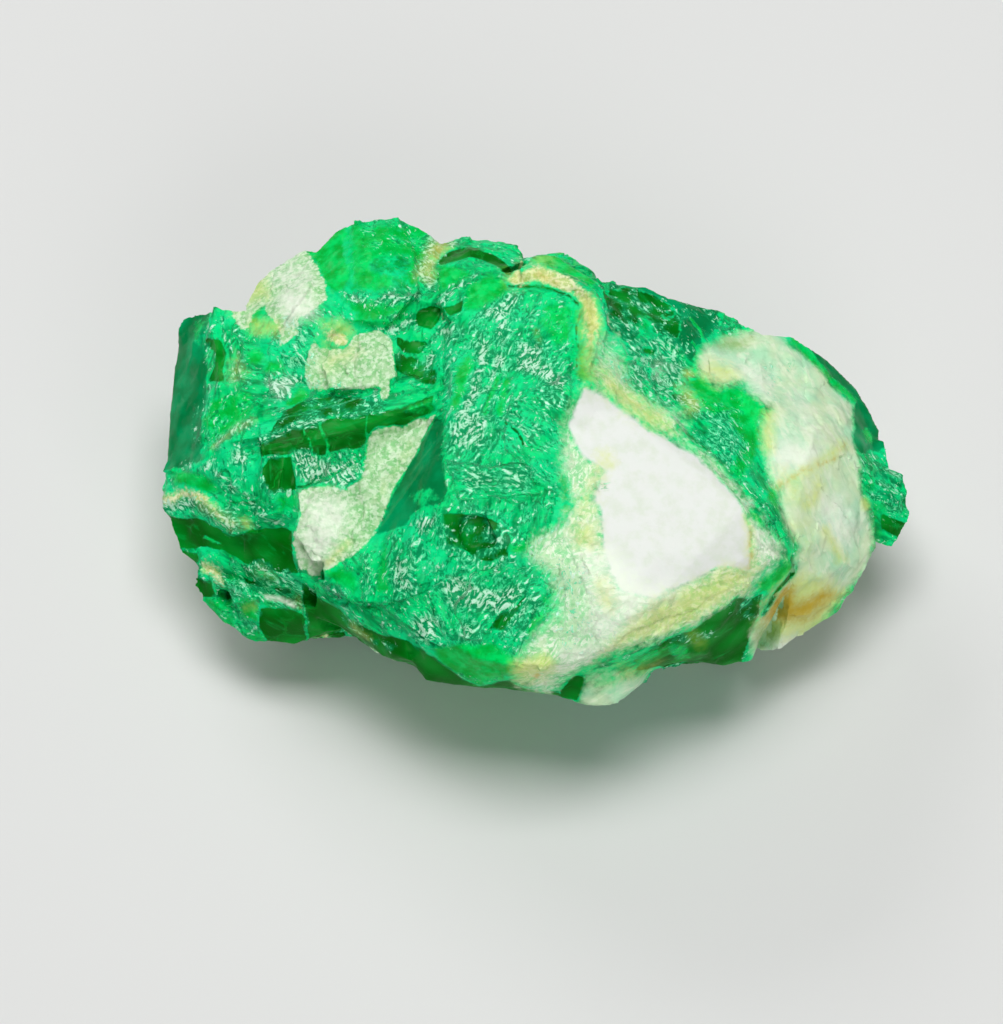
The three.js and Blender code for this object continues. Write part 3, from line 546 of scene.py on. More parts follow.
def left_crystal_zones():
    return [
        # The crystal that lies across the left half
        area("dark", (-11.6, 3.8), (-10.9, 5.1), (-9.5, 5.8), (-7, 5.8), (-5.9, 5.3), (-6.3, 5),
             (-8.4, 4.8), (-10, 4.5)),
        area("frost", (-11.6, 3.8), (-10.9, 5.1), (-9.5, 5.8), (-7, 5.8), (-5.9, 5.3), (-8.4, 4.8),
             (-10, 4.5)),
        area("dark", (-12.1, 3.5), (-10.6, 4.1), (-9.8, 4.4), (-8, 4.7), (-6.3, 5), (-5, 5.4),
             (-3.5, 5.9), (-3.3, 5.2), (-4.2, 4.6), (-6.4, 4.2), (-7.1, 3.3), (-8.8, 2.9),
             (-10.8, 2.7), (-12, 2.8)),
        area("bright", (-5.6, 5.1), (-4.4, 5.6), (-3.4, 5.8), (-3.4, 5.2), (-4.4, 4.8), share=0.55),
        *lines("bright", 0.06, [(-9.8, 4.2), (-9.4, 3)], [(-9.1, 4.4), (-8.7, 3)], share=0.8),
        line("bright", 0.05, (-6.9, 4.8), (-6.8, 3.6), share=0.8),
        # A painted highlight along the crystal's upper edge
        line("crust_and_glint", 0.16, (-12.2, 3.6), (-11.2, 3.8), (-10.2, 4.3), (-9.2, 4.55)),
        line("crust_and_glint", 0.1, (-9.2, 4.55), (-7.6, 4.85), (-6.2, 5.05)),
        *areas({"grey": 0.4, "crust_and_glint": 1.0}, (-10.3, 2.9), (-9.4, 2.9), (-8.4, 2.5), (-7.2, 3),
               (-6.9, 2.4), (-7.2, 1.6), (-7.8, 1.1), (-9, 1.3), (-10, 1.4), (-10.3, 2.2)),
        # The small block crystal
        area("dark", (-12, 2.1), (-11.6, 2.6), (-10.3, 2.6), (-10.3, 1), (-11.3, 0.9), (-11.9, 1.6)),
        line("crust_and_glint", 0.07, (-12, 1.8), (-11.4, 1), (-10.3, 0.9)),
        line("crust_and_glint", 0.12, (-11.9, 2.6), (-11.2, 2.7)),
        area("bright", (-11.4, 0.8), (-10.3, 0.8), (-10.2, 0), (-11.2, -0.1), share=0.6),
        # The grey plate and the smooth wall beside its straight edge
        *areas({"teal": 1.0, "bright": 0.3}, (-3.4, 4.9), (-2.8, 4.6), (-2.9, 2), (-2.6, 1), (-3, 0.3),
               (-4.2, 0), (-5, -0.8), (-6.5, -1.3), (-6, 0.2), (-5, 2)),
        area("dark", (-4.8, 0.8), (-3.6, 1.2), (-3, 0.6), (-4, 0.2), share=0.4),
        area("grey", (-3.4, 5), (-6.5, -1.4), (-7.2, -2), (-8.4, -2.7), (-8.9, -3.1), (-9.4, -3.1),
             (-10.1, -2.7), (-10.6, -1.7), (-10.5, -1), (-10.1, -0.2), (-10.1, 0.9), (-9.4, 1.2),
             (-7.8, 1.1), (-7.1, 1.7), (-6.9, 2.6), (-6.8, 3.4), (-6.5, 3.9), (-5.6, 4.3), (-4.5, 4.5)),
        area("pale", (-10, 0.8), (-8.4, 1), (-7.6, 0.4), (-7.7, -0.6), (-8, -1.4), (-8.6, -2.6),
             (-9.3, -2.9), (-10.2, -2.2), (-10.3, -1), (-10, -0.3), share=0.75),
        line("yellow", 0.35, (-6.2, 0.6), (-4.6, 3.4), share=0.35),
        line("ochre", 0.1, (-8.6, -2.5), (-8.1, -2), (-7.8, -1.8), share=0.4),
        line("yellow", 0.3, (-8.7, -2.5), (-7.7, -1.6), share=0.6),
        area("bright", (-8.8, -2.9), (-7.9, -2.8), (-7.3, -3.3), (-7.3, -3.9), (-8.1, -3.7)),
    ]


def slab_zones():
    return [
        # The fibrous slab left of the white plate
        area("frost", (-22, 16), (22, 16), (22, -12), (-22, -12), share=0.35),
        area("frost", (-3.1, 9.1), (0.4, 11.2), (3.2, 10.9), (4.1, 9), (4.1, 7), (3.2, 4.2), (3.1, 1),
             (2.6, -2), (2.5, -4), (2.9, -6), (1, -7), (0.8, -8), (-1.2, -8.7), (-3, -7.7),
             (-5, -6.3), (-6.4, -4.5), (-6.6, -1.5), (-4.8, -0.7), (-2.9, 0.5), (-2.8, 4.6), share=0.75),
        area("crust_and_glint", (-1.1, 9.9), (0.4, 11.1), (0.9, 10.9), (0.5, 9.3), (0.1, 8), (-0.3, 8.6),
             (-0.3, 9.6), share=0.9),
        area("crust_and_glint", (-2.6, 7.8), (-2.1, 7.8), (-2.4, 6.2), (-2.6, 5.4), (-2.8, 6.5), share=0.9),
        area("crust_and_glint", (-2, 8), (-1.2, 9.4), (-0.7, 9), (-1.2, 7.7), share=0.6),
        area("crust_and_glint", (-2.6, 4.4), (-1.9, 5.1), (-0.7, 5.1), (-0.5, 6.2), (-0.6, 5), (-1.2, 4.1),
             (-0.6, 3.4), (-1.5, 2.9), (-2.6, 3.1), share=0.8),
        *lines("crust_and_glint", 0.35, [(-0.8, 8.3), (-1.2, 7), (-1.4, 6.2), (-2.1, 4.8)],
               [(-0.1, 7.6), (-0.5, 6.2), (-0.7, 5), (-1.2, 4), (-2.3, 4)]),
        area("crust_and_glint", (0.7, 8.5), (2, 8.3), (2.2, 7.6), (3.6, 6.6), (3.2, 6), (1.6, 6.9), (0.7, 7)),
        area("bright", (-2.6, 5.2), (-2.2, 5.2), (-1.4, 7.2), (-1.7, 7.9), (-2.3, 7.2)),
        line("bright", 0.14, (-0.8, 4.9), (-0.1, 6.9)),
        line("bright", 0.16, (0, 5), (0.3, 6.4)),
        area("bright", (2.2, 10.6), (3.6, 10.3), (3.9, 8.6), (2.6, 8.2), (1.6, 9.4), share=0.7),
        area("bright", (3.7, 10.3), (4.2, 9.4), (4.1, 8.2), (4.6, 6.6), (4.2, 6.3), (3.8, 7.4),
             (3.6, 8.4)),
        line("dark", 0.1, (3.9, 9.8), (3.8, 8.4), (3.95, 7.2), share=0.7),
        line("olive", 0.14, (1.6, 9), (1.8, 8.4), share=0.7),
        area("crust_and_glint", (-2.3, 1.9), (-1.3, 2.4), (0, 1.6), (0.6, 2.6), (1.5, 1.8), (1.2, 0.8),
             (-0.2, 1.2), (-1.8, 0.9), share=0.7),
        area("crust_and_glint", (1.8, 6.6), (3.2, 6.2), (3.2, 4.6), (2, 5.2), share=0.5),
        line("crust_and_glint", 0.1, (0.2, 4.8), (0.9, 4.2), (1.5, 3.5)),
        line("crust_and_glint", 0.08, (0.6, 5), (1.4, 4.4), (2, 3.8)),
        line("dark", 0.06, (0.3, 4.5), (0.9, 3.9), (1.2, 3.4)),
        # The hollow where a crystal has come out
        area("crust_and_glint", (-3.2, 0.2), (-0.4, 0.2), (1, -1.4), (0.6, -2.6), (-1, -2.9), (-3, -2), share=0.5),
        area("dark", (-2.9, -0.1), (-2, 0.1), (-0.6, -0.2), (0.2, -0.8), (0.6, -1.7), (0.3, -2.4),
             (-0.9, -2.5), (-1.9, -1.9), (-2.7, -1.6), share=0.85),
        area("frost", (-2.4, 0.1), (0.4, -0.6), (0.8, -2.6), (-1, -2.6), share=0.7),
        area("crust_and_glint", (-1, -1), (-0.4, -0.8), (0.3, -1.3), (0.5, -1.9), (-0.2, -1.7), share=0.8),
        line("crust_and_glint", 0.12, (-2.4, -1.7), (-1.8, -2.1), (-1.1, -2.6), share=0.8),
        line("bright", 0.25, (0.6, -1.8), (1.2, -1.7)),
        line("crust_and_glint", 0.15, (-0.3, -2.9), (0.1, -2.3)),
        # Streaks under the hollow and along the left edge
        area("crust_and_glint", (-4.3, -0.4), (-3.7, -0.1), (-3.1, -0.4), (-3.4, -1), (-4.2, -1.4)),
        line("crust_and_glint", 0.22, (-4.3, -1.2), (-4.6, -2.2), (-4.4, -2.8), share=0.8),
        area("bright", (-6.4, -3.9), (-5.9, -1.7), (-5.7, -2.4), (-5.7, -4)),
        area("crust_and_glint", (-5.5, -2), (-4.5, -2.3), (-4.3, -4), (-5, -4.3), (-5.6, -3.6), share=0.8),
        line("crust_and_glint", 0.2, (-6.9, -2.4), (-6.6, -3.2), (-6.8, -4), share=0.75),
        area("crust_and_glint", (-3.2, -3.4), (-2, -3), (-1.2, -3.6), (-0.3, -3.8), (0.9, -3.4), (1.2, -4.1),
             (0.3, -5.2), (-0.8, -4.9), (-2.4, -4.9), share=0.9),
        area("dark", (-0.7, -5.8), (-0.2, -4.9), (0.6, -4.7), (1.3, -3.9), (1.4, -4.3), (0.7, -5.2),
             (0, -6), share=0.65),
        line("crust_and_glint", 0.16, (-0.1, -6.1), (1.1, -5), (1.8, -4.1)),
        line("crust_and_glint", 0.2, (0.9, -7), (1.2, -6), (2, -4.6)),
        area("bright", (2.1, -4.2), (2.6, -4.5), (2.5, -5.3), (1.9, -5.8), (1.4, -6.4), (1.3, -5.9),
             (2, -5)),
        area("crust_and_glint", (-4.8, -5.4), (-3.7, -4.8), (-3, -5.4), (-3.2, -6.7), (-4.2, -6.4), share=0.9),
        area("crust_and_glint", (-2.6, -6.8), (-1.9, -5.4), (-1.1, -5.6), (-1.2, -6.4), share=0.8),
        area("bright", (-3.4, -6.9), (-2, -6.6), (-0.3, -6.6), (0.7, -7.2), (0.9, -7.9), (-0.2, -8.3),
             (-1.2, -8.7), (-2.2, -8.3), (-3, -7.7)),
        line("crust_and_glint", 0.06, (-2.2, -8.1), (-1.4, -8.4)),
    ]


def white_plate_zones():
    return [
        # Sugary quartz around the plate, down to the ridge
        area("sugar", (3.1, 4.4), (3.7, 5.4), (4.3, 6.3), (5.2, 6.1), (7.2, 4.5), (10, 3.2), (12.4, 0.4),
             (13.4, -1.2), (14.1, -2.3), (13.2, -3), (12.4, -4), (11, -4.8), (10, -5.7), (8, -6.4),
             (5.5, -7.1), (4, -7.9), (3, -8.7), (2.2, -9), (0.9, -8.4), (1, -7), (2, -6.2),
             (2.9, -5.2), (2.5, -3), (1.4, -2.2), (1.9, -1.2), (3.3, -0.6), (3.3, 1)),
        area("white", (4.2, 6.3), (5, 6), (6.3, 5), (7, 4.4), (8.2, 3.8), (9.7, 3), (10.4, 2.2),
             (11.1, 1.3), (11.9, 0.5), (12.3, -0.6), (12.5, -1.8), (12.4, -2.9), (10.6, -2.8),
             (9.6, -3.4), (8.4, -3.9), (7.5, -4.5), (6, -4), (5.4, -3), (5, -1.6), (5, 0), (4.5, 0.7),
             (5.1, 2), (4.4, 2.6), (3.6, 3.6), (3.3, 4.2)),
        area("pale", (3.6, -1), (5.4, -1.6), (7.4, -3.6), (9.4, -3.2), (8.6, -4.8), (6, -6.2),
             (4, -6.4), (4.2, -4.4), (3.6, -2.6), share=0.7),
        area("pale", (12.4, 0.6), (13.2, -0.8), (13.6, -2), (12.6, -2.6), share=0.7),
        line("frost", 0.2, (4.4, 1.1), (5.4, 1.1), share=0.7),
        line("bright", 0.25, (3.6, 0.4), (4.2, 1), share=0.5),
        line("bright", 0.3, (3.2, 1.6), (3.4, 0.2), share=0.6),
        line("bright", 0.25, (3.3, -1.6), (4, -1.4), share=0.4),
        line("frost", 0.3, (2.4, -3.8), (3, -4), share=0.8),
        area("frost", (2.2, -2.4), (4.6, -2.8), (5, -5), (5.8, -6.2), (3.2, -7.4), (2.2, -5.8),
             share=0.7),
        # A whitish clump and streaks under the plate, painted paler as glints
        area("pale", (4.2, -5.6), (5.2, -5.2), (6.2, -5), (5.8, -6.1), (4.8, -6.3)),
        area("pale", (2.9, -7), (4.4, -6.6), (5.4, -6.8), (4.2, -7.5), (3, -7.7), share=0.8),
        area("yellow", (3.6, -0.6), (4.8, -0.6), (4.8, -1.8), (3.8, -1.8), share=0.8),
        line("yellow", 0.5, (5, -3.6), (5.4, -4.7), share=0.6),
        line("yellow", 0.4, (5, 2.8), (5.4, 2.4), share=0.7),
        line("yellow", 0.6, (4.2, -0.4), (4.4, 1), (5, 2.4), share=0.5),
        area("yellow", (7.4, -4.6), (9.8, -3.4), (11, -2.7), (13, -2.8), (12.4, -3.8), (11.2, -4.6),
             (9.6, -5.7), (7.6, -6.4), (5, -7.2), (4.4, -8), (5.6, -6.2), share=0.8),
        area("olive", (9.4, -5.4), (11, -4.6), (12.6, -3.9), (12.9, -3.4), (11.4, -4), (9.8, -4.8),
             share=0.35),
        line("yellow", 0.5, (1, -7.9), (2.2, -7.7), share=0.95),
        line("ochre", 0.09, (1.7, -8.2), (1.85, -8.15), share=0.9),
        area("bright", (2.6, -8.6), (4, -7.9), (6, -7.1), (8.4, -6.3), (10, -5.5), (9.4, -6.2),
             (7.4, -7), (5.4, -7.6), (3.8, -8.6), share=0.5),
        line("ochre", 0.1, (12.4, -1.1), (12.5, -2), (12.4, -2.8), share=0.6),
        line("yellow", 0.3, (12.3, -0.4), (12.6, -2.6), share=0.7),
        area("yellow", (4.3, 6.4), (5.6, 5.8), (7.2, 4.6), (8.4, 4), (8.2, 3.8), (6.6, 4.5), share=0.8),
        # The bright corner of the ridge, and the flank under it painted dark green as shade
        area("bright", (14.2, -2.3), (14.8, -2.7), (13.6, -4), (13, -4), (12.8, -3.5), (13.5, -3)),
        area("dark", (13.1, -4), (12.6, -4.2), (11.9, -4.2), (11.2, -4.9), (10.4, -5.3), (9.6, -6),
             (8.4, -6.4), (7.5, -6.9), (6.4, -7.4), (6.6, -7.9), (8, -7.6), (8.6, -8.6), (12, -7.8),
             (12.3, -6.4), (12.9, -5.1)),
        area("frost", (11.8, -4.3), (12.8, -4.3), (12.6, -5.1), (11.6, -5), share=0.8),
        line("crust_and_glint", 0.1, (9.7, -6.2), (10.5, -6.1)),
        line("olive", 0.3, (9.6, -6.2), (9.8, -6.5)),
        line("bright", 0.35, (8.6, -7), (9, -6.9), share=0.7),
        line("crust_and_glint", 0.2, (8.7, -6.3), (9.1, -6.3), share=0.7),
        line("bright", 0.12, (6.2, -7.7), (7.8, -7), share=0.7),
        # The lip that juts out at the front
        area("mint", (3.9, -10), (3.9, -8.4), (5, -7.9), (7.4, -7.9), (7.4, -10), share=0.8),
        area("bright", (4.2, -8.5), (5.4, -8), (6.2, -8.2), (5.6, -8.9), (4.4, -9), share=0.5),
        area("yellow", (5.8, -7.7), (7.9, -7.4), (7.4, -8), (6, -8.3), share=0.7),
        area("dark", (3, -8.9), (3.6, -8.3), (4.1, -8.3), (3.9, -9.5), (3, -9.3)),
    ]


def back_right_zones():
    return [
        # The dark slope
        area("teal", (4.9, 11.5), (7, 11.4), (9, 11), (10.8, 10.2), (10.9, 9.2), (10, 8.3), (9.5, 7.4),
             (8.5, 8.3), (7, 8.9), (6.5, 8.3), (5.2, 9.1), share=0.85),
        area("dark", (5, 11.2), (6.6, 11.2), (8, 10.8), (9, 9.8), (8.8, 8.6), (7.4, 8.8), (5.4, 9.6),
             share=0.7),
        area("crust_and_glint", (5.6, 9.8), (7, 10.2), (8, 9.4), (7.4, 8.6), (6, 8.8), share=0.3),
        area("frost", (5, 11.4), (10.4, 10.4), (9.6, 8), (5.4, 8.8), share=0.5),
        *lines("bright", 0.06, [(9.3, 9.7), (9.8, 9.2), (10.2, 8.6)], [(9.2, 8.7), (9.9, 8)],
               [(8.6, 8.2), (9.2, 7.4)]),
        area("bright", (7, 9.9), (7.5, 9.4), (7.3, 8.8), (6.9, 9.2), share=0.8),
        line("crust_and_glint", 0.14, (5.2, 10), (5.8, 9.5), (6.4, 9.2), share=0.9),
        line("crust_and_glint", 0.1, (6.2, 10.5), (6.8, 10.5), (7.4, 10.3)),
        line("crust_and_glint", 0.15, (10.4, 10), (10.8, 9.7)),
        area("crust_and_glint", (10.9, 9.2), (11.4, 9.5), (12.4, 9.3), (12, 8.9), share=0.8),
        line("dark", 0.2, (8.2, 9.7), (8.5, 9.9), share=0.6),
        # The mottled strip along the white plate
        area("sugar", (4.6, 8.8), (5.6, 8.4), (6.4, 7), (6.9, 6), (8, 5.4), (9, 4.9), (9.2, 3.9),
             (9.7, 3.3), (8.4, 3.8), (7, 4.5), (5.8, 5.4), (4.7, 6.3), share=0.7),
        area("yellow", (4.8, 7.4), (6.2, 6.2), (8, 5), (8.6, 4), (7, 4.5), (5.2, 6), share=0.95),
        area("frost", (4.7, 8.8), (6, 8.2), (6.7, 6.2), (5, 7), share=0.8),
        # The grey clump of small crystals
        area("crust_and_glint", (6.2, 8.4), (7.4, 8.6), (8.4, 8.8), (9.2, 7.9), (9.3, 6.8), (8.9, 6.1), (8.9, 5.4),
             (7.6, 5.2), (6.6, 6), (6.2, 7), share=0.7),
        area("pale", (7, 7.4), (8, 7.8), (8.6, 7.4), (8.2, 6.4), (7.4, 6.2), share=0.4),
        *lines("dark", 0.2, [(7.2, 8), (7.6, 7.9)], [(8.6, 5.9), (9, 5.8)], share=0.7),
        line("crust_and_glint", 0.35, (9.1, 5.8), (9.9, 5.2)),
        area("yellow", (8.9, 6.4), (9.8, 6.4), (10.2, 5.4), (9.4, 4.9), share=0.9),
        line("yellow", 0.25, (9.3, 6.9), (9.9, 6.8), share=0.8),
        # The green band between the two pale plates
        area("bright", (9.4, 6.4), (10.2, 6.7), (11, 6.2), (12, 6.1), (12.6, 5.7), (13.4, 5.2),
             (12.9, 4.6), (12.9, 3.8), (12.6, 2.6), (12, 1.7), (11.5, 2.1), (12.1, 3.6), (11.4, 4.6),
             (10.4, 4.8), (10, 5.5)),
        *lines("crust_and_glint", 0.06, [(10.6, 5.5), (11, 5.4)], [(11.6, 5.6), (12, 5.4)]),
        line("crust_and_glint", 0.05, (10.9, 5), (11.4, 5)),
        area("frost", (9.6, 5.4), (10.9, 5), (11.8, 4.8), (12.4, 3.7), (12, 2.2), (11, 2.4), (9.8, 3.6)),
        area("crust_and_glint", (10.2, 5), (11.6, 4.6), (12.1, 3.7), (11.8, 2.5), (11, 2.7), (10.4, 3.4),
             share=0.5),
        line("dark", 0.1, (8.8, 4.2), (9.5, 3.8), (10.2, 3.3), share=0.7),
        line("dark", 0.2, (9.8, 4.5), (10.1, 4), share=0.5),
        line("bright", 0.25, (13.7, 0.8), (13.9, 0.3), share=0.9),
        line("bright", 0.2, (12.6, -0.1), (13, -0.6), share=0.8),
        area("frost", (12, 1.8), (13, 2.6), (14.2, 0), (14.6, -2), (13.6, -1.8), (12.3, 0.4),
             share=0.5),
        line("yellow", 0.2, (13.3, 4), (13.4, 3.2), share=0.8),
    ]


def right_end_zones():
    return [
        area("mint", (10.1, 8.1), (11.4, 8.8), (12.5, 9.2), (13.6, 9.2), (14.4, 8.6), (15, 8), (16, 7.1),
             (17.3, 5.7), (17.6, 5.3), (17.6, 3.6), (17.9, 2.5), (18, 1), (18.5, 0), (18.6, -1.6),
             (18.2, -3), (17.4, -3.6), (15.9, -5.4), (14.6, -7), (12.6, -7.2), (12.3, -6.1), (13, -5),
             (13.7, -4), (14.8, -2.7), (14.8, -1.8), (14.3, -0.6), (14, 1), (13.4, 2.2), (13.2, 3.5),
             (13.3, 4.4), (13.7, 5), (12.6, 5.9), (12, 6.4), (11, 6.3), (10.1, 6.9), (9.8, 7.6)),
        area("olive", (10.4, 8.3), (11.2, 8.9), (12.6, 8.9), (12.2, 8), (11, 7.9), share=0.7),
        area("yellow", (10.2, 7.5), (11.4, 7.4), (12, 6.6), (11, 6.3), (10.2, 6.7), share=0.8),
        area("pale", (10.6, 7.7), (12.4, 7.6), (13.8, 6.9), (13.4, 5.4), (12.4, 6.1), (11.5, 7.1),
             share=0.7),
        area("pale", (14.2, 6.2), (15, 6), (15.8, 4.4), (16.4, 3.4), (15.2, 3.4), (14.5, 4.6),
             share=0.6),
        area("pale", (13.4, 3), (14.4, 3.8), (15.8, 3.3), (15.6, 2.4), (14.6, 2.1), (13.7, 1.5)),
        area("yellow", (13.2, 2.8), (14.6, 2.4), (15.6, 1.4), (15.4, 0), (14.2, 0.2), (13.5, 1.4),
             share=0.5),
        area("yellow", (14.2, -0.4), (15.4, 0), (16, -1.6), (15.6, -3), (14.6, -2.6), share=0.4),
        area("pale", (15.6, 1.2), (17.2, 1), (18, -0.8), (17.2, -2.4), (16.2, -1.6), (15.6, 0),
             share=0.7),
        area("frost", (12.4, 7.8), (14.6, 7.6), (13.8, 5.4), (12.8, 6), share=0.5),
        line("ochre", 0.14, (13.9, 1.2), (14.4, 1.7), (15, 2.1), (15.8, 2.4), (16.6, 2.6), share=0.55),
        line("ochre", 0.12, (16.6, 2.6), (17, 3), (17.2, 3.5), share=0.45),
        line("yellow", 0.4, (14, 1.4), (15.8, 2.4), (17, 3.2), share=0.7),
        *lines("yellow", 0.3, [(15.2, 0.4), (15.6, 0.9), (15.9, 1.4)],
               [(16.2, -0.9), (16.6, -1.6), (16.9, -2.4)], share=0.8),
        line("yellow", 0.4, (13.5, 4.6), (13.4, 3.2), share=0.8),
        # The green rim and the blades of the pointed end
        area("teal", (14.2, 9.1), (15.1, 8.2), (16.1, 7.1), (17.3, 5.8), (17.6, 5.3), (17.6, 3.6),
             (17.9, 2.9), (18.8, 2.9), (19.4, 3.6), (18.6, 5.6), (16.4, 8), (15, 9)),
        line("bright", 0.18, (14.6, 8.6), (16.4, 6.8), (17.6, 5.6), share=0.9),
        line("bright", 0.25, (18.2, 3.9), (18.4, 3.5), share=0.8),
        area("bright", (17.9, 2.9), (18.8, 3), (20.4, 1.6), (20.7, 0), (19.2, -1.2), (18.4, -2),
             (18.4, 0.2), share=0.5),
        area("frost", (17.9, 2.9), (20.8, 1.8), (21, -0.6), (18.6, -1.6), share=0.5),
        line("crust_and_glint", 0.12, (18.1, 2.6), (18.9, 2.2), (19.9, 1.8)),
        *lines("crust_and_glint", 0.1, [(18.3, 1.6), (19.1, 1.3), (20, 0.9)],
               [(18.6, 0.8), (19.2, 0.5), (19.9, 0.2)]),
        area("teal", (18.5, 2.2), (19.9, 1.5), (19.9, 1.1), (18.6, 1.8), share=0.8),
        area("teal", (18.8, 1.2), (20.1, 0.6), (19.9, 0.3), (18.8, 0.9), share=0.7),
        area("dark", (18.9, -0.1), (20.4, -0.6), (19.8, -1.2), (18.9, -1), share=0.8),
        line("yellow", 0.2, (18.2, 0.5), (18.3, 0.2)),
        # The stained lower right
        area("yellow", (13.2, -4.6), (14.6, -2.8), (16, -3.2), (17.4, -4), (15.6, -6.4), (13, -6.4),
             share=0.85),
        area("ochre", (13.2, -4.6), (14, -3.5), (14.6, -3.7), (14.7, -4.6), (16.2, -3.9), (16.8, -4.2),
             (15.4, -5.4), (14, -5.6), (12.8, -5.4), share=0.9),
        area("olive", (12.4, -5.3), (13.9, -5.6), (13.9, -6.4), (12.6, -7), share=0.75),
        area("pale", (13.7, -6), (15, -5.9), (14.6, -7), (13.4, -7.2)),
        line("dark", 0.1, (14.7, -2.8), (13.8, -4), (13.1, -5)),
        line("crust_and_glint", 0.12, (13.1, -5), (13.6, -4.4), share=0.7),
    ]


ZONES = (
    slab_zones()
    + left_end_zones()
    + lower_left_zones()
    + back_left_zones()
    + back_crystal_zones()
    + left_crystal_zones()
    + white_plate_zones()
    + back_right_zones()
    + right_end_zones()
)

# Which way the crystals' fibres run, in degrees from across, in areas of the side that shows
FIBRES = [
    (72, [(-7, 12), (5, 12), (5, -1), (-7, -5)]),
    (-38, [(0.2, 5.2), (3.4, 6.6), (3.4, 0.5), (1.5, 2.2), (0, 3.2)]),
    (-8, [(-2.6, 2.3), (1.8, 2.3), (1.8, 0.7), (-2.6, 0.7)]),
    (50, [(-2, -3), (3, -2.6), (3, -6.4), (0.6, -7.4), (-2, -6.4)]),
    (88, [(-18, 11), (-13, 11), (-13, 5), (-15, 2), (-18, 2)]),
    (-27, [(-18, 2), (-15, 2), (-10, 0), (-9, -3), (-12, -7), (-18, -3)]),
    (14, [(-13, 3), (-3, 5), (-3, 6.6), (-12, 5.4)]),
    (-48, [(-7, 15), (-2, 15), (-3, 11), (-7, 11)]),
    (-20, [(-1, 13.6), (5, 13.6), (5, 11.2), (-1, 11.6)]),
    (-52, [(4.6, 11.6), (11.4, 10.4), (10, 7), (4.8, 8)]),
    (-57, [(4.6, 8), (10, 7), (13.4, 5.4), (15, -2.5), (12, -1), (4.6, 6)]),
    (-66, [(10, 9.2), (15, 9), (17.8, 5), (17.8, -3), (14, -3), (13.4, 5)]),
    (-27, [(17.8, 3.2), (21, 3), (21, -2), (18.4, -2)]),
    (28, [(2, -8), (14.6, -2.6), (14, -9), (2, -10)]),
    (-32, [(-10, -3), (-1, -8), (-1, -10), (-10, -8)]),
]


def sight(points):
    """Where points in mm lie as the photograph sees them: across, up, and distance from the eye."""
    from_eye = points - EYE
    away = -(from_eye @ TO_EYE)
    across = (from_eye @ ACROSS) / away * EYE_DISTANCE
    up = (from_eye @ UP) / away * EYE_DISTANCE
    return across, up, away


def segments(zone):
    points = list(zone["points"])
    if zone["closed"]:
        points.append(points[0])
    return list(zip(points[:-1], points[1:]))


def rise(value, low, high):
    """0 up to low and 1 from high on, with an even slope between them."""
    return np.clip((value - low) / (high - low), 0, 1)


def reach(zone, across, up):
    """How far points lie inside a zone, in mm, and below 0 outside it."""
    nearest = np.full(len(across), FAR)
    inside = np.zeros(len(across), bool)
    for (x1, y1), (x2, y2) in segments(zone):
        dx, dy = x2 - x1, y2 - y1
        along = np.clip(((across - x1) * dx + (up - y1) * dy) / (dx * dx + dy * dy), 0, 1)
        distance = np.hypot(across - x1 - along * dx, up - y1 - along * dy)
        nearest = np.minimum(nearest, distance)
        if zone["closed"] and dy != 0:
            crosses = (up < y1) != (up < y2)
            inside ^= crosses & (across < x1 + (up - y1) * dx / dy)
    if zone["closed"]:
        return np.where(inside, nearest, -nearest)
    return zone["width"] - nearest


def near(zone, across, up, margin):
    x = [point[0] for point in zone["points"]]
    y = [point[1] for point in zone["points"]]
    wide = (across > min(x) - margin) & (across < max(x) + margin)
    high = (up > min(y) - margin) & (up < max(y) + margin)
    return np.nonzero(wide & high)[0]


def lay(covers, kind, where, share):
    """Covers points with a kind. A ground hides the kinds under it."""
    if kind in GROUNDS:
        for cover in covers.values():
            cover[where] *= 1 - share
    covers[kind][where] = np.maximum(covers[kind][where], share)


def no_covers(points):
    return {kind: np.zeros(len(points)) for kind in KINDS}


def shown_covers(points, across, up):
    """Kinds by the zones that the photograph shows."""
    for turn, (size, spacing) in enumerate(WANDER):
        across = across + size * noise(points, spacing, SEEDS["borders across"] + turn)
        up = up + size * noise(points, spacing, SEEDS["borders up"] + turn)
    covers = no_covers(points)
    for zone in ZONES:
        fade = KINDS[zone["kind"]]
        if not zone["closed"]:
            fade = min(fade, LINE_FADE + LINE_FADE_SHARE * zone["width"])
        where = near(zone, across, up, zone["width"] + fade)
        inside = reach(zone, across[where], up[where])
        lay(covers, zone["kind"], where, zone["share"] * rise(inside, -fade, fade))
    return covers


# Repeatable noise. The large numbers only scramble the bits of a cell's place and seed.


def cell_numbers(cells, seed):
    """A repeatable number from 0 to 1 for each row of whole numbers."""
    word = np.uint64(0xFFFFFFFF)
    i, j, k = (cells[..., axis].astype(np.int64).astype(np.uint64) for axis in range(3))
    mixed = i * np.uint64(73856093) ^ j * np.uint64(19349663) ^ k * np.uint64(83492791)
    mixed = (mixed ^ np.uint64(seed * 2654435761 + 97)) & word
    for shift, factor in [(15, 2246822519), (13, 3266489917)]:
        mixed = ((mixed ^ (mixed >> np.uint64(shift))) * np.uint64(factor)) & word
    return (mixed ^ (mixed >> np.uint64(16))).astype(float) / float(word)


def three_numbers(cells, seed):
    return np.stack([cell_numbers(cells, seed + axis) for axis in range(3)], axis=1)


def noise(points, spacing, seed):
    """Smooth noise from -1 to 1 whose bumps lie a spacing apart, which may differ by axis."""
    cell = points / spacing
    low = np.floor(cell)
    part = cell - low
    ease = part * part * (3 - 2 * part)
    total = np.zeros(len(points))
    for step in product((0, 1), repeat=3):
        share = np.prod(np.where(step, ease, 1 - ease), axis=1)
        total += share * cell_numbers(low + step, seed)
    return 2 * total - 1


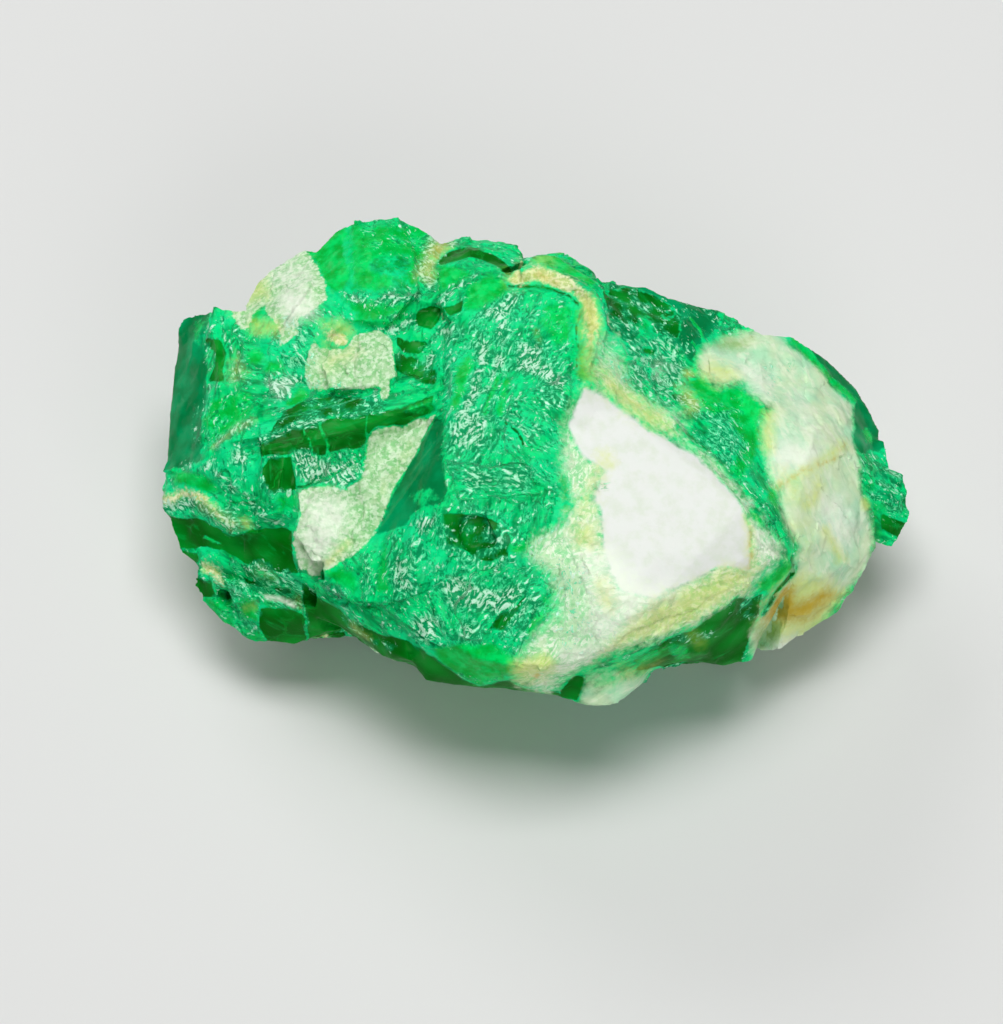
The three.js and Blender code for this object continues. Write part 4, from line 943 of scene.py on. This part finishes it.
def nearest_cells(points, spacing, seed):
    """The nearest of points scattered one to a cell: its cell, the offset from it, and how much
    nearer it is than the second nearest."""
    cell = points / spacing
    low = np.floor(cell)
    best = np.full(len(points), FAR)
    second = np.full(len(points), FAR)
    home = np.zeros_like(low)
    offset = np.zeros_like(low)
    for step in product((-1, 0, 1), repeat=3):
        other = low + step
        scatter = CELL_EDGE + (1 - 2 * CELL_EDGE) * three_numbers(other, seed)
        away = cell - (other + scatter)
        distance = np.sqrt((away**2).sum(axis=1))
        closer = distance < best
        second = np.where(closer, best, np.minimum(second, distance))
        best = np.where(closer, distance, best)
        home[closer] = other[closer]
        offset[closer] = away[closer]
    return home, offset, second - best


def chips(fibres, form, seed):
    """Heights in mm of a surface broken into chips, each a plane with its own tilt and level."""
    squeezed = fibres / np.array([form["stretch"], 1.0, 1.0])
    home, offset, _ = nearest_cells(squeezed, form["spacing"], seed)
    tilt = three_numbers(home, seed + 5) - 0.5
    level = cell_numbers(home, seed + 9) - 0.5
    return form["height"] * (CHIP_TILT * (offset * tilt).sum(axis=1) + CHIP_STEP * level)


def crests(points, spacing, seed):
    """Noise from -1 to 1 with sharp crests."""
    return 1 - 2 * np.abs(noise(points, spacing, seed))


def patches(points, name):
    """1 in the patches of one pattern, and 0 between them."""
    spacing, low, high = PATCHES[name]
    return rise(noise(points, spacing, SEEDS[name]), low, high)


def pale_end(points, wobble):
    """1 in the pale right end of the hidden sides, fading to 0 outside it."""
    place = points[:, 0]
    start = rise(place + PALE_FROM_FADE * wobble[:, 0], PALE_FROM, PALE_FROM + PALE_FROM_FADE)
    return start * rise(PALE_TO + wobble[:, 1] - place, 0, PALE_TO_FADE)


def cell_covers(home, margin):
    """Kinds by cells of space, which fade towards their borders."""
    number = cell_numbers(home, SEEDS["hidden kinds"])
    inner = rise(margin, -HIDDEN_FADE, HIDDEN_FADE)
    covers = no_covers(home)
    lowest = 0.0
    for part, shares in HIDDEN_KINDS:
        chosen = (number >= lowest) & (number < lowest + part)
        for kind, share in shares.items():
            covers[kind][chosen] = share * inner[chosen]
        lowest += part
    return covers


def hidden_covers(points):
    """Kinds where the view doesn't reach: cells with a pale end, veins between some, and stains."""
    seed = SEEDS["hidden wobble"]
    wobble = [noise(points, HIDDEN_WOBBLE_SPACING, seed + axis) for axis in range(3)]
    wobble = np.stack(wobble, axis=1)
    moved = points + HIDDEN_WOBBLE * wobble
    home, _, margin = nearest_cells(moved, HIDDEN_CELL, SEEDS["hidden cells"])
    margin = margin * HIDDEN_CELL
    covers = cell_covers(home, margin)
    everywhere = np.arange(len(points))
    pale = pale_end(points, wobble)
    lay(covers, "mint", everywhere, PALE_SHARE * pale)
    vein = np.minimum(patches(points, "veins"), VEIN_SHARE)
    vein *= 1 - rise(margin, VEIN_FULL_WITHIN, VEIN_ENDS_AT)
    lay(covers, "cream", everywhere, vein * (1 - pale))
    covers["yellow"] = YELLOW_SHARE * patches(points, "yellow stains")
    covers["ochre"] = patches(points, "ochre stains") * (1 - covers["dark"])
    return covers


def seen_share(across, up, away):
    """1 where the view reaches the surface, falling to 0 behind it."""
    column = np.floor(across / SIGHT_CELL).astype(int)
    row = np.floor(up / SIGHT_CELL).astype(int)
    column -= column.min()
    row -= row.min()
    nearest = np.full((column.max() + 1, row.max() + 1), FAR)
    np.minimum.at(nearest, (column, row), away)
    behind = away - nearest[column, row]
    return 1 - rise(behind, SEEN_WITHIN, HIDDEN_BEYOND)


def all_covers(points):
    across, up, away = sight(points)
    seen = seen_share(across, up, away)
    shown = shown_covers(points, across, up)
    hidden = hidden_covers(points)
    return {kind: seen * shown[kind] + (1 - seen) * hidden[kind] for kind in KINDS}


def turned(points, angle):
    """Points in a frame whose first axis runs along fibres at an angle in the view's plane."""
    along = math.cos(angle) * ACROSS + math.sin(angle) * UP
    crossing = -math.sin(angle) * ACROSS + math.cos(angle) * UP
    return np.stack([points @ along, points @ crossing, points @ TO_EYE], axis=1)


def fibre_frame(points):
    """Points in the frame of the fibres that they lie in."""
    across, up, away = sight(points)
    seen = seen_share(across, up, away) > 0.5
    across = across + FIBRE_WANDER * noise(points, FIBRE_WANDER_SPACING, SEEDS["fibres across"])
    up = up + FIBRE_WANDER * noise(points, FIBRE_WANDER_SPACING, SEEDS["fibres up"])
    home, _, _ = nearest_cells(points, HIDDEN_CELL, SEEDS["hidden cells"])
    angles = math.pi * cell_numbers(home, SEEDS["hidden fibres"])
    for degrees, corners in FIBRES:
        inside = reach(area("frost", *corners), across, up) > 0
        angles[inside & seen] = math.radians(degrees)
    frame_points = np.zeros_like(points)
    for angle in np.unique(angles):
        same = angles == angle
        frame_points[same] = turned(points[same], angle)
    return frame_points


def relief(points):
    """How far the surface stands out at each point, in mm."""
    covers = all_covers(points)
    fibres = fibre_frame(points)
    smooth = np.clip(sum(covers[kind] for kind in SMOOTH_KINDS), 0, 1)
    pale = np.clip(sum(covers[kind] for kind in PALE_KINDS), 0, 1)
    broken = 1 - LESS_ON_SMOOTH * smooth - LESS_ON_PALE * pale
    calm = 1 - LESS_ON_WHITE * covers["white"]
    partly_broken = SMALL_CHIPS_LEFT + (1 - SMALL_CHIPS_LEFT) * broken
    height = calm * broken * chips(fibres, LARGE_CHIPS, SEEDS["large chips"])
    height += calm * partly_broken * chips(fibres, SMALL_CHIPS, SEEDS["small chips"])
    height += covers["frost"] * RIDGE_HEIGHT * crests(fibres, RIDGE_SPACING, SEEDS["ridges"])
    height += covers["crust_and_glint"] * CRUMB_HEIGHT * crests(points, CRUMB_SPACING, SEEDS["crumbs"])
    grains = noise(points, GRAIN_SPACING, SEEDS["grains"])
    grainy = MINT_GRAINS * covers["mint"] + covers["sugar"] + covers["grey"]
    height += grainy * GRAIN_HEIGHT * grains
    height += covers["cream"] * (CREAM_RISE + CREAM_GRAINS * grains)
    height += covers["mint"] * MINT_SWELL * noise(points, MINT_SWELL_SPACING, SEEDS["mint swell"])
    height += broken * DUST_HEIGHT * noise(points, DUST_SPACING, SEEDS["dust"])
    return height - DARK_DROP * covers["dark"] - WHOLE_DROP


def read_vectors(rows, name):
    flat = np.empty(len(rows) * 3)
    rows.foreach_get(name, flat)
    return flat.reshape(-1, 3)


def read_points(mesh):
    return read_vectors(mesh.vertices, "co")


def write_points(mesh, points):
    mesh.vertices.foreach_set("co", points.ravel())
    mesh.update()


def with_modifiers(mesh, *modifiers):
    """A new mesh: the mesh after (type, settings) modifiers."""
    holder = bpy.data.objects.new("shaping", mesh)
    bpy.context.scene.collection.objects.link(holder)
    for kind, settings in modifiers:
        modifier = holder.modifiers.new(kind.lower(), kind)
        for name, value in settings.items():
            setattr(modifier, name, value)
    evaluated = holder.evaluated_get(bpy.context.evaluated_depsgraph_get())
    result = bpy.data.meshes.new_from_object(evaluated)
    bpy.data.objects.remove(holder)
    return result


def stone_mesh(node):
    """The stone's fine mesh, in millimetres, inside the box of its solid."""
    solid = node.data.copy()
    write_points(solid, read_points(solid) / MM)
    lowest = read_points(solid).min(axis=0)
    highest = read_points(solid).max(axis=0)
    fine = with_modifiers(
        solid,
        ("REMESH", {"mode": "VOXEL", "voxel_size": VOXEL}),
        ("SMOOTH", {"iterations": SMOOTH_ROUNDS, "factor": SMOOTH_SHARE}),
    )
    points = read_points(fine)
    lift = relief(points) * rise(points[:, 2], FLAT_BELOW, FULL_RELIEF_ABOVE)
    points += read_vectors(fine.vertex_normals, "vector") * lift[:, None]
    write_points(fine, np.clip(points, lowest, highest))
    triangles = sum(len(polygon.vertices) - 2 for polygon in fine.polygons)
    if triangles > MOST_TRIANGLES:
        ratio = MOST_TRIANGLES / triangles
        fine = with_modifiers(fine, ("DECIMATE", {"ratio": ratio}))
    write_points(fine, np.clip(read_points(fine), lowest, highest))
    return fine


def write_layer(mesh, name, values):
    """Numbers or vectors on the mesh's points, for the material."""
    single = values.ndim == 1
    layer = mesh.attributes.new(name, "FLOAT" if single else "FLOAT_VECTOR", "POINT")
    layer.data.foreach_set("value" if single else "vector", values.astype(np.float32).ravel())


def add_stone():
    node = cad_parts["rough_emerald"]
    mesh = stone_mesh(node)
    points = read_points(mesh)
    for kind, cover in all_covers(points).items():
        write_layer(mesh, kind, cover)
    write_layer(mesh, "fibres", fibre_frame(points))
    write_points(mesh, points * MM)
    mesh.shade_smooth()
    mesh.set_sharp_from_angle(angle=SHARP_ANGLE)
    mesh.materials.clear()
    mesh.materials.append(emerald_material())
    stone = bpy.data.objects.new("rough_emerald_surface", mesh)
    bpy.context.scene.collection.objects.link(stone)
    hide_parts("rough_emerald")
    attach(stone, "root")
    return stone


def colour(red, green, blue):
    """A shader colour from screen values of 0 to 255."""
    parts = [c / 255 for c in (red, green, blue)]
    linear = [c / 12.92 if c <= 0.04045 else ((c + 0.055) / 1.055) ** 2.4 for c in parts]
    return (*linear, 1.0)


class Shading:
    """Short calls for building a node tree. Each returns an output socket."""

    def __init__(self, tree):
        self.tree = tree

    def node(self, kind, **settings):
        made = self.tree.nodes.new(kind)
        for name, value in settings.items():
            setattr(made, name, value)
        return made

    def put(self, socket, value):
        if isinstance(value, bpy.types.NodeSocket):
            self.tree.links.new(value, socket)
        else:
            socket.default_value = value

    def math(self, operation, first, second):
        made = self.node("ShaderNodeMath", operation=operation)
        self.put(made.inputs[0], first)
        self.put(made.inputs[1], second)
        return made.outputs[0]

    def plus(self, first, second):
        return self.math("ADD", first, second)

    def less(self, first, second):
        return self.math("SUBTRACT", first, second)

    def times(self, first, *others):
        for other in others:
            first = self.math("MULTIPLY", first, other)
        return first

    def span(self, value, low, high, new_low=0.0, new_high=1.0, smooth=True):
        """The value's place between low and high, moved to between the new ends."""
        made = self.node("ShaderNodeMapRange", interpolation_type="SMOOTHSTEP" if smooth else "LINEAR")
        for index, part in enumerate((value, low, high, new_low, new_high)):
            self.put(made.inputs[index], part)
        return made.outputs[0]

    def mix(self, share, first, second):
        made = self.node("ShaderNodeMix", data_type="RGBA")
        self.put(made.inputs["Factor"], share)
        self.put(made.inputs[6], first)
        self.put(made.inputs[7], second)
        return made.outputs[2]

    def blend(self, share, first, second):
        """Like mix, for plain numbers."""
        made = self.node("ShaderNodeMix", data_type="FLOAT")
        self.put(made.inputs["Factor"], share)
        self.put(made.inputs[2], first)
        self.put(made.inputs[3], second)
        return made.outputs[0]

    def layer(self, name, vector=False):
        made = self.node("ShaderNodeAttribute", attribute_name=name)
        return made.outputs["Vector" if vector else "Fac"]

    def stretch(self, place, scale, shift=(0.0, 0.0, 0.0)):
        made = self.node("ShaderNodeMapping")
        self.put(made.inputs["Vector"], place)
        made.inputs["Scale"].default_value = scale
        made.inputs["Location"].default_value = shift
        return made.outputs[0]

    def noise(self, place, scale=1.0, detail=4.0, rough=0.6, bend=0.0):
        made = self.node("ShaderNodeTexNoise")
        self.put(made.inputs["Vector"], place)
        made.inputs["Scale"].default_value = scale
        made.inputs["Detail"].default_value = detail
        made.inputs["Roughness"].default_value = rough
        made.inputs["Distortion"].default_value = bend
        return made.outputs["Fac"]

    def vector(self, operation, first, second):
        made = self.node("ShaderNodeVectorMath", operation=operation)
        self.put(made.inputs[0], first)
        self.put(made.inputs[1], second)
        return made.outputs["Value" if operation == "DOT_PRODUCT" else "Vector"]

    def cells(self, place):
        """The nearest of points scattered about one apart: how far away it is, and the height of a
        small plane around it, which has its own tilt."""
        made = self.node("ShaderNodeTexVoronoi")
        self.put(made.inputs["Vector"], place)
        made.inputs["Scale"].default_value = 1.0
        tilt = self.vector("SUBTRACT", made.outputs["Color"], (0.5, 0.5, 0.5))
        offset = self.vector("SUBTRACT", place, made.outputs["Position"])
        return made.outputs["Distance"], self.vector("DOT_PRODUCT", offset, tilt)


def stone_patterns(s):
    """Patterns that the colours and the fine relief share."""
    object_place = s.node("ShaderNodeTexCoord").outputs["Object"]
    place = s.stretch(object_place, (1 / MM, 1 / MM, 1 / MM))
    fibres = s.layer("fibres", vector=True)
    edges = s.noise(place, EDGE_SCALE, rough=0.65)
    grains = s.noise(place, GRAIN_SCALE, detail=2.0)
    depth, _ = s.cells(s.stretch(fibres, DEPTH_SCALE))
    _, facets = s.cells(s.stretch(place, FACET_SCALE))
    wisps, shaded = (
        s.noise(s.stretch(fibres, WISP_SCALE, shift), rough=0.7, bend=1.5) for shift in WISP_PLACES
    )
    return {
        "wide": s.noise(place, WIDE_SCALE, detail=3.0, rough=0.5),
        "clouds": s.noise(place, CLOUD_SCALE),
        "strands": s.noise(s.stretch(fibres, STRAND_SCALE), bend=0.5),
        "edges": edges,
        "grains": grains,
        "depth": depth,
        "facets": facets,
        # What breaks up borders, about 0 on average
        "drift": s.less(s.plus(edges, s.times(grains, 0.5)), 0.75),
        # Above 0 where the fine wisps face a light from one side
        "lit": s.less(wisps, shaded),
    }


def kind_tone(s, patterns, kind):
    """The colour of a kind of crystal: its base, with its other colours over it."""
    base, *others = TONES[kind]
    tone = colour(*base)
    for pattern, low, high, most, other in others:
        tone = s.mix(s.span(patterns[pattern], low, high, 0.0, most), tone, colour(*other))
    return tone


def kind_mask(s, patterns, kind):
    """Where a kind shows: its cover, with its border broken up."""
    softness, wobble = BORDERS[kind]
    cover = s.layer(kind)
    broken = s.plus(cover, s.times(patterns["drift"], wobble))
    shows = s.span(broken, 0.5 - softness, 0.5 + softness)
    return s.times(shows, s.span(cover, *RAMPS["kind begins"]))


def by_kind(s, masks, value, values):
    """A number over the stone: a value, and each kind's own where that kind shows."""
    for kind, own in values.items():
        value = s.blend(masks[kind], value, own)
    return value


def with_flecks(s, patterns, masks, skin):
    """The skin under a milky veil, with dark green painted shade on the wisps' side away from the light
    and pale flecks painted lighter as highlights on their lit side, and where the flecks are. There
    are more of all three the more frost or crust there is."""
    lit = patterns["lit"]
    crust_and_glint = s.layer("crust_and_glint")
    greenness = by_kind(s, masks, 1.0, GREENNESS)
    frosted = s.plus(s.times(s.layer("frost"), FROST_SHARE), crust_and_glint)
    clouding = s.span(patterns["clouds"], *RAMPS["clouding"], -CLOUDING, CLOUDING, smooth=False)
    density = s.plus(frosted, clouding)
    some = s.times(s.span(frosted, *RAMPS["frost begins"]), s.span(density, *RAMPS["flecks begin"]))
    veil = s.times(s.span(density, *RAMPS["veil"], 0.0, VEIL_SHARE), some, greenness)
    skin = s.mix(veil, skin, colour(*VEIL_TONE))
    level = s.span(density, *RAMPS["fleck level"], *FLECK_LEVELS, smooth=False)
    # Painted shade: dark green on the side of each wisp away from the light
    painted_shade = s.times(s.span(s.plus(lit, level), *RAMPS["painted shade"]), greenness, some, PAINTED_SHADE_SHARE)
    skin = s.mix(painted_shade, skin, colour(*PAINTED_SHADE_TONE))
    # Pale flecks on the lit side of the wisps, the most lit ones in a painted highlight tone
    flecks = s.times(s.span(s.less(lit, level), *RAMPS["fleck"]), some, FLECK_SHARE)
    tone = s.mix(s.span(lit, *RAMPS["painted highlight"]), colour(*FLECK_TONE), colour(*PAINTED_HIGHLIGHT_TONE))
    tone = s.mix(s.span(crust_and_glint, *RAMPS["crust fleck"]), tone, colour(*CRUST_FLECK_TONE))
    return s.mix(flecks, skin, tone), flecks


def with_stains(s, patterns, skin):
    """The skin with pale patches and stains over it, whose borders are broken up too."""
    wobble = s.times(patterns["drift"], STAIN_WOBBLE)
    for kind, (tone, most) in STAINS.items():
        cover = s.layer(kind)
        stain = s.span(s.plus(cover, wobble), *RAMPS["stain"], 0.0, most)
        stain = s.times(stain, s.span(cover, *RAMPS["stain begins"]))
        skin = s.mix(stain, skin, colour(*tone))
    return skin


def fine_relief(s, patterns, masks, flecks):
    """Ripples along the fibres, grains, small tilted planes and raised flecks, as a normal."""
    ripples = s.plus(s.times(patterns["strands"], STRAND_HEIGHT), patterns["grains"])
    ripples = s.plus(ripples, s.times(patterns["facets"], FACET_HEIGHT))
    share = by_kind(s, masks, GREEN_RIPPLES, RIPPLES)
    bump = s.node("ShaderNodeBump")
    s.put(bump.inputs["Strength"], BUMP_STRENGTH)
    s.put(bump.inputs["Distance"], BUMP_HEIGHT * MM)
    s.put(bump.inputs["Height"], s.plus(s.times(flecks, FLECK_HEIGHT), s.times(share, ripples)))
    return bump.outputs[0]


def emerald_material():
    material = bpy.data.materials.new("emerald")
    material.use_nodes = True
    material.node_tree.nodes.clear()
    s = Shading(material.node_tree)
    patterns = stone_patterns(s)
    masks = {kind: kind_mask(s, patterns, kind) for kind in BORDERS}
    skin = kind_tone(s, patterns, "green")
    for kind, mask in masks.items():
        skin = s.mix(mask, skin, kind_tone(s, patterns, kind))
    skin, flecks = with_flecks(s, patterns, masks, skin)
    dullness = by_kind(s, masks, GREEN_DULLNESS, DULLNESS)
    shader = s.node("ShaderNodeBsdfPrincipled")
    s.put(shader.inputs["Base Color"], with_stains(s, patterns, skin))
    s.put(shader.inputs["Roughness"], s.blend(flecks, dullness, FLECK_DULLNESS))
    s.put(shader.inputs["Normal"], fine_relief(s, patterns, masks, flecks))
    for name, value in SHADER_VALUES.items():
        s.put(shader.inputs[name], value)
    s.put(s.node("ShaderNodeOutputMaterial").inputs["Surface"], shader.outputs[0])
    return material


def add_floor():
    mesh = bpy.data.meshes.new("floor")
    corners = [(x * FLOOR_HALF, y * FLOOR_HALF, 0) for x, y in [(-1, -1), (1, -1), (1, 1), (-1, 1)]]
    mesh.from_pydata(corners, [], [(0, 1, 2, 3)])
    material = bpy.data.materials.new("floor")
    material.use_nodes = True
    shader = material.node_tree.nodes["Principled BSDF"]
    shader.inputs["Base Color"].default_value = colour(*FLOOR_TONE)
    shader.inputs["Roughness"].default_value = FLOOR_DULLNESS
    mesh.materials.append(material)
    floor = bpy.data.objects.new("floor", mesh)
    floor.location.z = -FLOOR_DROP
    bpy.context.scene.collection.objects.link(floor)


def add_softbox(name, place, size, power):
    light = bpy.data.lights.new(name, "AREA")
    light.shape = "RECTANGLE"
    light.size, light.size_y = size
    light.energy = power
    holder = bpy.data.objects.new(name, light)
    holder.location = Vector(place)
    aim = Vector(LIGHTS_AIM) - Vector(place)
    holder.rotation_euler = aim.to_track_quat("-Z", "Y").to_euler()
    bpy.context.scene.collection.objects.link(holder)


def add_lights():
    for name, (place, size, power) in LIGHTS.items():
        add_softbox(name, place, size, power)
    world = bpy.data.worlds.new("studio")
    world.use_nodes = True
    background = world.node_tree.nodes["Background"]
    background.inputs["Color"].default_value = SKY
    background.inputs["Strength"].default_value = SKY_STRENGTH
    bpy.context.scene.world = world


def add_camera():
    lens = bpy.data.cameras.new("show")
    lens.sensor_width = SENSOR
    lens.lens = SENSOR * EYE_DISTANCE * PIXELS_PER_MM / IMAGE_HEIGHT
    lens.clip_start = NEAR_CLIP
    camera = bpy.data.objects.new("show", lens)
    camera.location = Vector(EYE * MM)
    camera.rotation_euler = (math.pi / 2 - SHOW_ELEVATION, 0.0, 0.0)
    bpy.context.scene.collection.objects.link(camera)
    bpy.context.scene.camera = camera


add_camera()
add_stone()
add_floor()
add_lights()
bpy.context.scene.view_settings.view_transform = "Standard"
